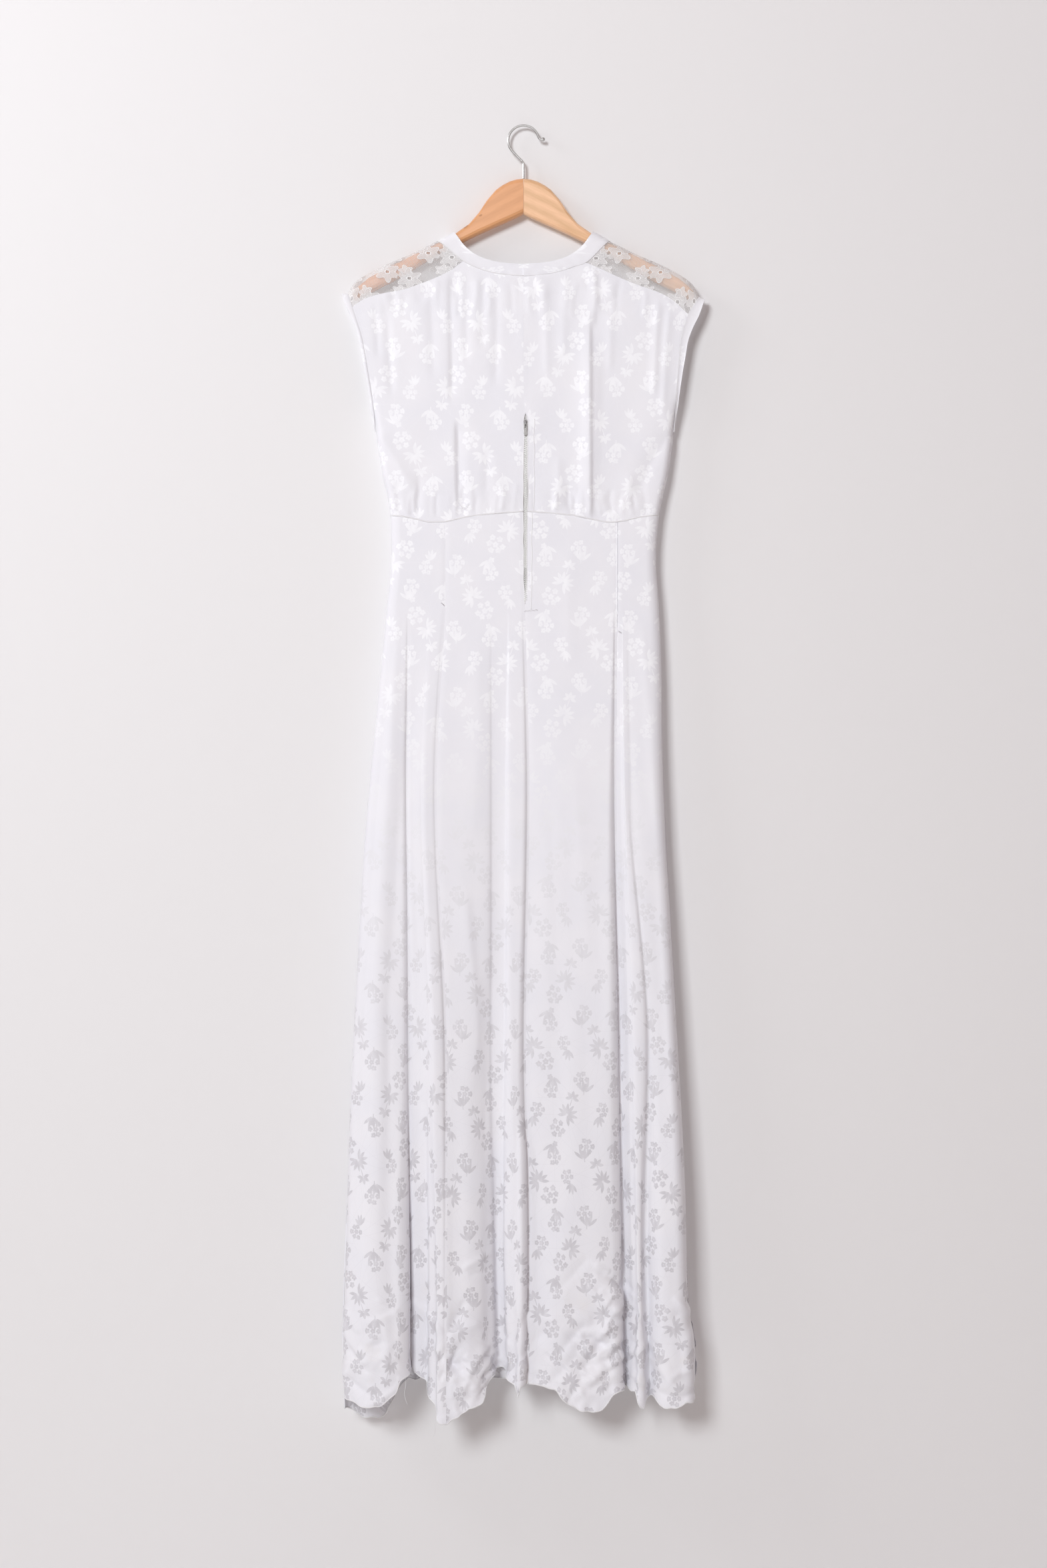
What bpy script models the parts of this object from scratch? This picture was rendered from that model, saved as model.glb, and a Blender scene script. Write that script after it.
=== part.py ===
"""A brocade maxi dress hung on a wooden hanger, its back to the viewer.

The frame: X to the viewer's right, Y away from the viewer, Z up, in metres.
The origin is the underside of the hook's top, where a rail or peg bears.
The dress hangs flat: a back layer at -Y and a front layer at +Y, which meet
at the side seams in the plane y = 0. Every cloth piece starts as a middle
surface, a grid of points, which is given its wall to both sides.
Heights are written as z, which is negative below the hook.
"""

import math

import bmesh
import bpy
import numpy as np

MM = 0.001

# Walls, and the gaps that keep neighbours apart
CLOTH_WALL = 1.5 * MM
LACE_WALL = 1.0 * MM
BAND_WALL = 1.8 * MM
SEAM_GAP = 0.3 * MM
WAIST_HALF_GAP = 0.3 * MM
ARMBAND_SHIFT = 0.5 * MM
UNDERARM_SHIFT = 1.3 * MM

# How far each layer's middle surface stands from the plane of the side seams
BODICE_DEPTH = 10.5 * MM
HEM_DEPTH_BACK = 20.0 * MM
HEM_DEPTH_FRONT = 12.0 * MM
BAND_EXTRA_DEPTH = 0.3 * MM
FRONT_FOLD_SHARE = 0.45

# Heights down the dress
NECK_FRONT_DROP = 16.0 * MM
NECK_HALF_WIDTH = 75.0 * MM
UNDERARM = -390.0 * MM
ARMHOLE_TURN = 60.0 * MM
ZIP_TOP = -366.0 * MM
ZIP_END = -612.0 * MM
PLEATS_OPEN = -614.0 * MM
HIP = -842.0 * MM
KNEE = -1180.0 * MM
CALF = -1397.0 * MM
HEM = -1615.0 * MM
FRONT_HEM = -1597.0 * MM
FRONT_HEM_LEFT_DROP = 52.0 * MM
FRONT_HEM_CORNER_RISE = 18.0 * MM

# Centre-back line and the zip in it
ZIP_CENTRE = 2.6 * MM
ZIP_HALF_OPENING = 3.3 * MM
ZIP_CLOSING = 40.0 * MM

# The silhouette below the underarm: height, left side, right side, in mm
OUTLINE = (
    (-1650, -224, 217),
    (-1600, -229, 218),
    (-1553, -230, 218),
    (-1500, -229, 209),
    (-1357, -224, 205),
    (-1165, -216, 195),
    (-1011, -208, 186),
    (-898, -201, 180),
    (-787, -191, 176),
    (-698, -182, 175),
    (-616, -174, 172),
    (-550, -168, 168),
    (-496, -169, 172),
    (-440, -180, 184),
    (-380, -189, 192),
)

# The waist seam's height against distance from the centre, in mm
WAIST = ((0, -491), (60, -496), (112, -505), (150, -498), (175, -495))

# The shoulder on each side, from neck to tip: the top line of the lace and the
# seam at its lower edge, distance from the centre and height in mm
SHOULDER_LEFT = (
    # top_x, top_z, seam_x, seam_z
    (109.3, -145.9, 74.8, -174.3),
    (124.0, -153.5, 98.0, -188.8),
    (140.6, -161.5, 121.0, -198.4),
    (171.7, -174.7, 155.0, -210.5),
    (200.6, -189.3, 188.0, -216.5),
    (215.4, -199.5, 206.0, -224.0),
    (223.5, -213.5, 216.7, -231.9),
)
SHOULDER_RIGHT = (
    (109.3, -146.2, 77.5, -176.0),
    (124.0, -153.6, 100.0, -184.5),
    (140.6, -161.6, 126.0, -196.5),
    (171.7, -175.2, 158.0, -208.6),
    (200.6, -190.2, 186.0, -220.0),
    (215.4, -202.0, 199.0, -232.0),
    (223.5, -217.5, 209.0, -241.0),
)

# The neckband's two edges from centre back to the neck point, in mm
NECKBAND_LOWER = ((0.0, -192.1), (22.0, -190.6), (41.0, -187.6), (59.0, -182.0))
NECKBAND_UPPER = (
    (0.0, -177.3), (24.0, -175.8), (47.0, -171.0), (62.0, -164.3),
    (74.0, -154.5), (81.5, -146.0), (88.9, -134.9),
)

# The armhole band's two edges from underarm to shoulder tip, in mm
ARMHOLE_INNER_LEFT = ((187.0, -389.5), (189.5, -362.0), (194.0, -332.0), (198.3, -306.0),
                      (204.0, -273.7), (210.8, -250.8))
ARMHOLE_OUTER_LEFT = ((189.5, -382.0), (193.0, -362.0), (197.5, -332.0), (202.3, -306.0),
                      (206.6, -282.2), (212.2, -257.6), (220.0, -240.0), (226.5, -227.0),
                      (231.0, -213.5))
ARMHOLE_INNER_RIGHT = ((190.0, -389.5), (192.0, -362.0), (194.5, -332.0), (196.5, -306.0),
                       (198.9, -278.0), (203.5, -257.0))
ARMHOLE_OUTER_RIGHT = ((192.6, -382.0), (195.5, -362.0), (199.5, -332.0), (203.2, -308.0),
                       (206.4, -289.9), (209.6, -272.0), (216.0, -256.0), (223.0, -242.0),
                       (231.0, -219.5))

ARMBAND_HEIGHT = 7.5 * MM
NECKBAND_FLAT_SHARE = 0.8

# The skirt's back is a row of rolls of cloth between fold edges, left to right.
# x is the roll's left edge at five heights, lift is how far its left, middle and
# right stand out towards the viewer, hem is its lower edge's height at five even
# places across it, all in mm.
# slit is a groove at its left edge, seam says that a sewn seam runs beside that
# edge, and steps is how many points lie inside the roll.
ROLL_HEIGHTS = (HEM, CALF, KNEE, HIP, PLEATS_OPEN)
ROLLS = (
    # name, x at hem, calf, knee, hip, pleats_open, lift_knee, lift_hem, hem, slit, seam, steps
    ("side_left", None, (3, 11, 5), (6, 22, 16), (-1614, -1619, -1617, -1606, -1585), 0, None, 5),
    ("underlay_left", (-149, -151, -150, -150, -148), (4, 7, 10), (-9, -8, -6),
     (-1577, -1580, -1584, -1590, -1597), 0, None, 2),
    ("lap_left", (-120, -120, -120, -131, -122), (10, 13, 12), (14, 22, 23),
     (-1618, -1630, -1636, -1639, -1640), 0, None, 1),
    ("centre_left", (-101, -100, -101, -114, -103), (4, 8, 3), (23, 19, 2),
     (-1640, -1630, -1621, -1615, -1590), 0, "princess_left", 3),
    ("valley_centre", (-35, -39, -42, -42, -42), (3, 2, 2), (-5, -8, -7),
     (-1583, -1579, -1579, -1580, -1582), 0, None, 1),
    ("centre_pleat", (-24, -29, -25, -21, -19), (7, 8, 8), (10, 17, 16),
     (-1594, -1604, -1608, -1606, -1594), 0, None, 1),
    ("centre_right", (-6, -6, -8, 3, -2), (2, 9, 11), (5, 17, 16),
     (-1593, -1597, -1621, -1626, -1602), 0, "centre_back", 6),
    ("valley_right", (124, 122, 118, 113, 115), (0, 1, 3), (-4, -3, 0),
     (-1599, -1600, -1601, -1602, -1602), 0, "princess_right", 1),
    ("lap_right", (133, 132, 130, 125, 124), (5, 9, 7), (4, 13, 6),
     (-1603, -1618, -1624, -1623, -1612), 0, None, 2),
    ("side_right", (160, 155, 158, 134, 131), (2, 9, 2), (2, 20, 5),
     (-1610, -1619, -1622, -1619, -1615), 7, None, 4),
)
ROLL_COLUMNS = ("name", "x", "lift_knee", "lift_hem", "hem", "slit", "seam", "steps")
HEM_PLACES = (0.0, 0.25, 0.5, 0.75, 1.0)
HIP_SHARE = 0.45
SIDE_TURN = 12.0 * MM
SLIT_HALF = 4.6 * MM
EDGE_HALF = 1.2 * MM
FOLD_RADIUS = 3.0 * MM
TUCK_SHARE = 0.35
TUCK_MAX = 4.0 * MM
SEAM_FROM_EDGE = 3.0 * MM
SKIRT_ROWS = (0, 0.04, 0.073, 0.09, 0.107, 0.13, 0.17, 0.22, 0.28, 0.34, 0.40, 0.46, 0.52, 0.58,
              0.64, 0.70, 0.76, 0.82, 0.88, 0.94, 1)

# The bodice grid: shares along the neck, the lace seam and the armhole, and the
# heights of its rows down the side seam and down the centre
NECK_COLUMNS = (0, 0.2, 0.4, 0.6, 0.8, 1)
YOKE_COLUMNS = (0.13, 0.27, 0.41, 0.56, 0.71, 0.86, 0.93, 0.975, 1)
ARMHOLE_ROWS = (0, 0.12, 0.25, 0.38, 0.52, 0.66, 0.83, 1)
SIDE_HEIGHTS = (-400.0 * MM, -420.0 * MM, -445.0 * MM, -470.0 * MM)
CENTRE_ROWS = (-212.0 * MM, -236.0 * MM, -262.0 * MM, -290.0 * MM, -316.0 * MM, -342.0 * MM,
               ZIP_TOP, ZIP_TOP - 7.5 * MM, -400.0 * MM, -430.0 * MM, -462.0 * MM)
# The bodice's pressed folds: x, top, bottom in mm and how far the fold stands out
BODICE_FOLDS = (
    (84.5, -258, -505, 1.6),
    (-82.0, -395, -505, 1.2),
)
BODICE_FOLD_WIDTH = 9.0 * MM
SIDE_AT_WAIST = 170.0 * MM

# Hanger: distance from the middle, top and bottom height, in mm
HANGER_STATIONS = (
    (0, -66.6, -112.0),
    (9, -67.5, -116.5),
    (18, -70.2, -120.5),
    (27, -75.0, -124.5),
    (35, -80.8, -128.0),
    (46, -93.5, -133.0),
    (57, -110.0, -138.0),
    (69, -124.0, -144.0),
    (88, -137.2, -153.0),
    (108, -147.6, -163.0),
    (140, -163.4, -182.5),
    (168, -177.4, -199.0),
    (198, -193.4, -213.5),
    (211, -204.5, -221.0),
    (217, -211.0, -220.0),
)
HANGER_HALF_THICK = 7.0 * MM
HANGER_TIP_HALF_THICK = 5.0 * MM
HANGER_EDGE = 6.0 * MM

# Hook
WIRE = 1.5 * MM
HOOK_RADIUS = 19.5 * MM
HOOK_START = 228
HOOK_END = 16
HOOK_TIP_BALL = 2.5 * MM
# The shank's x and z up to the crook, and the tip's x and z from the crook's end, in mm
HOOK_SHANK = ((0.0, -56.0), (0.0, -47.0), (-2.2, -43.5), (-7.0, -39.0))
HOOK_TIP = ((1.2, -2.6), (3.6, -4.0), (6.2, -3.6), (7.6, -3.1), (8.6, -2.8))
HOOK_STEPS = 26

# Zip
TAPE_WIDTH = 24.0 * MM
TAPE_WALL = 0.8 * MM
TAPE_ABOVE = 8.0 * MM
TAPE_BELOW = 6.0 * MM
CHAIN_BELOW_TOP = 8.0 * MM
CHAIN_ABOVE_END = 9.0 * MM
CHAIN_WIDTH = 4.2 * MM
CHAIN_PROUD = 1.2 * MM
CHAIN_STEP = 0.05 * MM
SLIDER_WIDTH = 5.4 * MM
SLIDER_LENGTH = 9.0 * MM
SLIDER_PLATE = 1.0 * MM
SLIDER_SHOULDER = 2.0 * MM
SLIDER_TOP_SHARE = 0.6
SLIDER_TAIL_SHARE = 0.75
SLIDER_TOP = ZIP_TOP - 9.0 * MM
BRIDGE_WIDTH = 1.2 * MM
BRIDGE_INSET = 1.6 * MM
BRIDGE_WIRE = 0.8 * MM
BRIDGE_CLEAR = 1.5 * MM
PIN_ABOVE_BRIDGE = 0.9 * MM
PULL_WIDTH = 4.4 * MM
PULL_LENGTH = 15.0 * MM
PULL_WALL = 0.8 * MM
PULL_EYE_WIDTH = 2.2 * MM
PULL_EYE_LENGTH = 5.0 * MM
PULL_SHOULDER = 1.0 * MM
PULL_NECK = 3.0 * MM
PULL_NECK_SHARE = 0.8
PULL_END_CORNER = 2.2 * MM


def make_material(name, colour, roughness, metallic=0.0):
    """A Principled material with one colour."""
    material = bpy.data.materials.new(name)
    material.use_nodes = True
    shader = material.node_tree.nodes["Principled BSDF"]
    shader.inputs["Base Color"].default_value = (*colour, 1.0)
    shader.inputs["Roughness"].default_value = roughness
    shader.inputs["Metallic"].default_value = metallic
    material.diffuse_color = (*colour, 1.0)
    return material


def smooth(at, knots, values):
    """A curve through the values at rising knots that never overshoots them."""
    knots = np.asarray(knots, float)
    values = np.asarray(values, float)
    at = np.clip(np.asarray(at, float), knots[0], knots[-1])
    width = np.diff(knots)
    slope = np.diff(values) / width
    before, after = slope[:-1], slope[1:]
    same_way = before * after > 0
    total = np.where(same_way, before + after, 1.0)
    inner = np.where(same_way, 2 * before * after / total, 0.0)
    tangent = np.concatenate([slope[:1], inner, slope[-1:]])
    i = np.clip(np.searchsorted(knots, at, side="right") - 1, 0, len(width) - 1)
    t = (at - knots[i]) / width[i]
    return (
        values[i] * (2 * t**3 - 3 * t**2 + 1)
        + values[i + 1] * (3 * t**2 - 2 * t**3)
        + tangent[i] * width[i] * (t**3 - 2 * t**2 + t)
        + tangent[i + 1] * width[i] * (t**3 - t**2)
    )


def ramp(value, start, end):
    """0 before start, 1 after end and an even slope between."""
    return np.clip((np.asarray(value, float) - start) / (end - start), 0.0, 1.0)


def ease(value, start, end):
    """The same with soft ends."""
    t = ramp(value, start, end)
    return t * t * (3 - 2 * t)


def path_length(path):
    """Distance along a polyline at each of its points."""
    steps = np.linalg.norm(np.diff(path, axis=0), axis=1)
    return np.concatenate([[0.0], np.cumsum(steps)])


def along(path, share):
    """Points at shares 0 to 1 of a smooth curve through the path's points."""
    length = path_length(path)
    at = np.asarray(share) * length[-1]
    return np.stack([smooth(at, length, path[:, k]) for k in range(path.shape[1])], axis=-1)


def normals(grid):
    """Unit normals of a grid of points, from the slopes along both ways."""
    down = np.gradient(grid, axis=0)
    across = np.gradient(grid, axis=1)
    cross = np.cross(down, across)
    return cross / np.linalg.norm(cross, axis=2, keepdims=True)


def add_object(name, vertices, faces, material, smooth_angle=40):
    """A mesh object whose faces point outwards."""
    mesh = bpy.data.meshes.new(name)
    mesh.from_pydata([tuple(v) for v in vertices], [], faces)
    shape = bmesh.new()
    shape.from_mesh(mesh)
    if shape.calc_volume(signed=True) < 0:
        bmesh.ops.reverse_faces(shape, faces=shape.faces)
    shape.to_mesh(mesh)
    shape.free()
    mesh.shade_smooth()
    mesh.set_sharp_from_angle(angle=math.radians(smooth_angle))
    mesh.materials.append(material)
    thing = bpy.data.objects.new(name, mesh)
    bpy.context.scene.collection.objects.link(thing)
    return thing


def wall_from_grid(name, grid, wall, material, rims=()):
    """A closed wall round a middle surface: both faces and the rims between them.

    rims names edges of the grid, as (rows, columns, axis), whose wall keeps
    square to that axis, so that the piece beside it can lie close.
    """
    rows, columns = grid.shape[:2]
    way = normals(grid)
    for rim_rows, rim_columns, axis in rims:
        way[rim_rows, rim_columns, axis] = 0.0
    half = way / np.linalg.norm(way, axis=2, keepdims=True) * wall / 2
    vertices = np.concatenate([(grid + half).reshape(-1, 3), (grid - half).reshape(-1, 3)])
    under = rows * columns
    faces = []
    for r in range(rows - 1):
        for c in range(columns - 1):
            a = r * columns + c
            b = a + columns
            faces.append((a, a + 1, b + 1, b))
            faces.append((under + a, under + b, under + b + 1, under + a + 1))
    rim = (
        [c for c in range(columns)]
        + [r * columns + columns - 1 for r in range(1, rows)]
        + [(rows - 1) * columns + c for c in range(columns - 2, -1, -1)]
        + [r * columns for r in range(rows - 2, 0, -1)]
    )
    for here, after in zip(rim, rim[1:] + rim[:1]):
        faces.append((here, under + here, under + after, after))
    return add_object(name, vertices, faces, material)


def ring_solid(name, rings, material, smooth_angle=40):
    """A closed solid through rings of equal point counts, with flat ends."""
    rings = np.asarray(rings)
    count, sides = rings.shape[:2]
    faces = [tuple(range(sides))]
    for r in range(count - 1):
        for s in range(sides):
            t = (s + 1) % sides
            faces.append((r * sides + s, r * sides + t, (r + 1) * sides + t, (r + 1) * sides + s))
    faces[0] = tuple(reversed(faces[0]))
    faces.append(tuple((count - 1) * sides + s for s in range(sides)))
    flat = rings.reshape(-1, 3)
    thing = add_object(name, flat, faces, material, smooth_angle)
    return thing


def outline_x(z, side):
    """The silhouette's x at a height; side is -1 for left, 1 for right."""
    table = np.array(OUTLINE) * MM
    return smooth(z, table[:, 0], table[:, 1 if side < 0 else 2])


def waist_z(x):
    """The waist seam's height at a distance from the centre."""
    table = np.array(WAIST) * MM
    return smooth(np.abs(x), table[:, 0], table[:, 1])


def zip_half(z):
    """Half the width of the gap at the centre back: open along the zip."""
    opened = ramp(z, ZIP_TOP, ZIP_TOP - 7.5 * MM) * ease(z, ZIP_END, ZIP_END + ZIP_CLOSING)
    return SEAM_GAP / 2 + (ZIP_HALF_OPENING - SEAM_GAP / 2) * opened


def roll_dicts():
    """The rolls as dictionaries, so that their columns are read by name."""
    return [dict(zip(ROLL_COLUMNS, roll)) for roll in ROLLS]


def roll_lift(roll, place, z):
    """Lift of a roll's left, middle or right (0, 1, 2) at heights z, in metres."""
    hem, knee = roll["lift_hem"][place], roll["lift_knee"][place]
    levels = (hem, (hem + knee) / 2, knee, knee * HIP_SHARE, 0.0)
    return smooth(z, ROLL_HEIGHTS, np.array(levels) * MM)


def roll_left(roll, z):
    """The x of a roll's left edge at heights z."""
    if roll["x"] is None:
        return outline_x(z, -1) + SIDE_TURN
    return smooth(z, ROLL_HEIGHTS, np.array(roll["x"]) * MM)


def fold_edge(z, x, left, right, slit):
    """Three points across a fold edge: where the left roll ends, the nose, where the right begins.

    left and right are the lifts on the two sides. The roll that stands lower is
    tucked under the one that stands higher, and a slit goes deeper than both.
    """
    step = left - right
    radius = np.minimum(np.abs(step) / 2, FOLD_RADIUS)
    tuck = np.minimum(TUCK_SHARE * np.abs(step), TUCK_MAX)
    over = step > 0
    first_x = np.where(over, x - radius, x + tuck - radius) - EDGE_HALF
    last_x = np.where(over, x - tuck + radius, x + radius) + EDGE_HALF
    nose = np.where(over, left - radius, right - radius) - slit
    if np.ndim(slit) or slit:
        half = EDGE_HALF + (SLIT_HALF - EDGE_HALF) * ramp(z, PLEATS_OPEN, KNEE)
        first_x = x - half
        last_x = x + half
    return [(first_x, left), (x, nose), (last_x, right)]


def skirt_columns():
    """Names of the skirt's columns left to right, as (kind, roll number, place)."""
    rolls = roll_dicts()
    columns = [("turn_left", 0, t) for t in (0.0, 0.3, 0.7)]
    for number, roll in enumerate(rolls):
        if number:
            columns += [("edge", number, k) for k in range(3)]
        if roll["seam"]:
            columns.append(("seam", number, 0))
        steps = roll["steps"]
        first = 0 if number == 0 else 1
        last = steps + 1 if number == len(rolls) - 1 else steps
        columns += [("inside", number, k / (steps + 1)) for k in range(first, last + 1)]
    columns += [("turn_right", len(rolls) - 1, t) for t in (0.7, 0.3, 0.0)]
    return columns


def skirt_point(column, z, fold_share=1.0):
    """The x and lift of one column at heights z."""
    rolls = roll_dicts()
    kind, number, place = column
    roll = rolls[number]
    left_x = roll_left(roll, z)
    if kind == "turn_left":
        full = fold_share * roll_lift(roll, 0, z)
        return outline_x(z, -1) + SIDE_TURN * (1 - math.cos(math.radians(90 * place))), full
    if kind == "turn_right":
        full = fold_share * roll_lift(roll, 2, z)
        return outline_x(z, 1) - SIDE_TURN * (1 - math.cos(math.radians(90 * place))), full
    if number + 1 < len(rolls):
        right_x = roll_left(rolls[number + 1], z)
    else:
        right_x = outline_x(z, 1) - SIDE_TURN
    low, middle, high = (fold_share * roll_lift(roll, k, z) for k in range(3))
    if number:
        before = fold_share * roll_lift(rolls[number - 1], 2, z)
        slit = fold_share * roll["slit"] * MM * ramp(z, HIP, HEM)
        edge = fold_edge(z, left_x, before, low, slit if roll["slit"] else 0.0)
        start_x = edge[2][0]
    else:
        start_x = left_x
    if kind == "edge":
        return edge[place]
    if kind == "seam":
        return start_x + SEAM_FROM_EDGE, low
    if roll["seam"]:
        start_x = start_x + SEAM_FROM_EDGE
    end_x = right_x - (EDGE_HALF + FOLD_RADIUS / 2 if number + 1 < len(rolls) else 0)
    ends = low if place < 0.5 else high
    lift = ends + (middle - ends) * math.sin(math.pi * place)
    return start_x + (end_x - start_x) * place, lift


def hem_z(column):
    """The hem's height at a column of the back."""
    kind, number, place = column
    hem = np.array([roll["hem"] for roll in roll_dicts()]) * MM
    if kind == "turn_left" or kind == "seam":
        return hem[number, 0]
    if kind == "turn_right":
        return hem[number, -1]
    if kind == "edge":
        return (hem[number - 1, -1] * (2 - place) + hem[number, 0] * place) / 2
    return smooth(place, HEM_PLACES, hem[number])


def layer_depth(z, hem_depth):
    """How far a layer's middle surface stands from the seam plane before its folds."""
    return BODICE_DEPTH + (hem_depth - BODICE_DEPTH) * ease(z, PLEATS_OPEN, HEM)


def turned_share(column):
    """1 on the flat of the layer, falling to 0 at the side seam."""
    kind, _, place = column
    if kind in ("turn_left", "turn_right"):
        return math.sin(math.radians(90 * place))
    return 1.0


def back_skirt_grid(columns):
    """The middle surface of some of the skirt's back columns."""
    grid = np.zeros((len(SKIRT_ROWS), len(columns), 3))
    last = len(columns) - 1
    for c, column in enumerate(columns):
        top_x, _ = skirt_point(column, np.array([PLEATS_OPEN]))
        top = waist_z(top_x[0]) - WAIST_HALF_GAP
        z = top + (hem_z(column) - top) * np.array(SKIRT_ROWS)
        x, lift = skirt_point(column, z)
        share = turned_share(column)
        depth = SEAM_GAP / 2 + (layer_depth(z, HEM_DEPTH_BACK) + lift - SEAM_GAP / 2) * share
        gap = SEAM_GAP / 2 * np.ones_like(z)
        name = roll_dicts()[column[1]]["seam"]
        if name == "centre_back" and column[0] in ("edge", "seam"):
            gap = zip_half(z)
        if c == 0 and column[0] == "seam":
            x = x + gap
        elif column[0] == "seam" or (column[0] == "edge" and name == "centre_back" and c >= last - 3):
            x = x - gap
        grid[:, c] = np.stack([x, -depth, z], axis=1)
    return grid


def front_hem(x):
    """The front layer's hem: it sags below the back's at the left, less at the corner."""
    sag = FRONT_HEM_LEFT_DROP * ease(x, -145 * MM, -190 * MM)
    return FRONT_HEM - sag + FRONT_HEM_CORNER_RISE * ease(x, -206 * MM, -232 * MM)


def front_skirt_grid():
    """The hidden front: the back's folds in mirror image, shallower, in one piece."""
    keep = [c for c in skirt_columns() if c[0] != "seam" and c[:1] + c[2:] != ("edge", 1)]
    rows = SKIRT_ROWS[::2]
    grid = np.zeros((len(rows), len(keep), 3))
    for c, column in enumerate(keep):
        ends = np.array([waist_z(0.0), HEM])
        x_top, x_hem = outline_x(ends, -1) + outline_x(ends, 1) - skirt_point(column, ends)[0]
        top = waist_z(x_top) - WAIST_HALF_GAP
        z = top + (front_hem(x_hem) - top) * np.array(rows)
        x, lift = skirt_point(column, z, FRONT_FOLD_SHARE)
        share = turned_share(column)
        depth = SEAM_GAP / 2 + (layer_depth(z, HEM_DEPTH_FRONT) + lift - SEAM_GAP / 2) * share
        left, right = outline_x(z, -1), outline_x(z, 1)
        mirrored = left + right - x
        grid[:, c] = np.stack([mirrored, depth, z], axis=1)
    return grid


def shoulder_table(side):
    """The shoulder's stations as x, z of the top line and of the lower seam, in metres."""
    table = np.array(SHOULDER_LEFT if side < 0 else SHOULDER_RIGHT) * MM
    return table * np.array([side, 1, side, 1])


def plane_path(table, side):
    """A table of distances and heights as points in the plane, in metres."""
    return np.array(table) * MM * np.array([side, 1])


def neck_seam(side, front):
    """Where the neckband meets the bodice: points from the centre to the lace."""
    corner = shoulder_table(side)[0, 2:]
    path = np.concatenate([plane_path(NECKBAND_LOWER, side), [corner]])
    if front:
        path = lowered_front(path, NECK_FRONT_DROP)
    return along(path, NECK_COLUMNS)


def lace_seam(side):
    """Where the lace meets the bodice: points from the neckband to the armhole."""
    return along(shoulder_table(side)[:, 2:], YOKE_COLUMNS)


def lace_top(side):
    """The shoulder line above each point of the lace seam, and above its start."""
    return along(shoulder_table(side)[:, :2], (0, *YOKE_COLUMNS))


def armhole_edge(side):
    """The bodice's armhole edge, from the lace down to the underarm."""
    table = ARMHOLE_INNER_LEFT if side < 0 else ARMHOLE_INNER_RIGHT
    corner = shoulder_table(side)[-1, 2:]
    path = np.concatenate([[corner], plane_path(table, side)[::-1]])
    return along(path, ARMHOLE_ROWS)


def over_shoulder(back, front, top, radius, dome_steps=4, flank=None):
    """A line up the back, over the shoulder and down the front.

    back and front are points in the plane that end below the shoulder's top; the
    last stretch to the top rises as a quarter turn with the given radius. flank
    gives the distance from the seam plane at heights z before that turn.
    """
    halves = []
    for sign, points in ((-1, back), (1, front)):
        way = top - points[-1]
        length = np.linalg.norm(way)
        angle = np.linspace(0, math.pi / 2, dome_steps + 1)
        rise = length - radius + radius * np.sin(angle)
        dome = points[-1] + way / length * rise[:, None]
        depth = np.concatenate([np.full(len(points), radius), radius * np.cos(angle)])
        if flank is not None:
            depth[: len(points)] = flank(points[:, 1])
        plane = np.concatenate([points, dome])
        halves.append(np.stack([plane[:, 0], sign * depth, plane[:, 1]], axis=1))
    return np.concatenate([halves[0], halves[1][-2::-1]])


def between(first, second, shares):
    """A grid of rows from one 3D line to another."""
    shares = np.asarray(shares)[None, :, None]
    return first[:, None] * (1 - shares) + second[:, None] * shares


def lowered_front(path, drop):
    """The front neckline: the same path, lower towards the centre."""
    share = 1 - ramp(np.abs(path[:, 0]), 0.0, NECK_HALF_WIDTH) ** 1.5
    return path - np.stack([np.zeros(len(path)), drop * share], axis=1)


def neckband_grid(side):
    """The band round half the neck, from centre back over the shoulder to centre front."""
    radius = BODICE_DEPTH + BAND_EXTRA_DEPTH
    lower_top = shoulder_table(side)[0, :2]
    upper = plane_path(NECKBAND_UPPER, side)
    upper_top = upper[-1]
    upper_back = along(upper, np.linspace(0, NECKBAND_FLAT_SHARE, len(NECK_COLUMNS)))
    upper_front = along(lowered_front(upper, NECK_FRONT_DROP),
                        np.linspace(0, NECKBAND_FLAT_SHARE, len(NECK_COLUMNS)))
    lines = []
    for back, front, top in (
        (neck_seam(side, False), neck_seam(side, True), lower_top),
        (upper_back, upper_front, upper_top),
    ):
        ends = [points.copy() for points in (back, front)]
        for points in ends:
            points[0, 0] = side * SEAM_GAP / 2
        lines.append(over_shoulder(*ends, top, radius))
    return between(lines[0], lines[1], (0, 0.5, 1))


def yoke_grid(side):
    """The lace from the bodice's back seam over the hanger to its front seam."""
    seam = np.concatenate([neck_seam(side, False)[-1:], lace_seam(side)])
    top = lace_top(side)
    shift = np.zeros(len(seam))
    shift[0] = side * SEAM_GAP
    shift[-1] = -side * SEAM_GAP
    rows = []
    for k in range(len(seam)):
        low = seam[k] + (shift[k], 0)
        high = top[k] + (shift[k], 0)
        rows.append(over_shoulder(low[None], low[None], high, BODICE_DEPTH))
    return np.array(rows)


def armhole_flank(z):
    """Distance of the armhole's edge from the seam plane: none at the underarm."""
    return SEAM_GAP / 2 + (BODICE_DEPTH - SEAM_GAP / 2) * np.sin(
        math.pi / 2 * ramp(z, UNDERARM, UNDERARM + ARMHOLE_TURN)
    )


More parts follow.
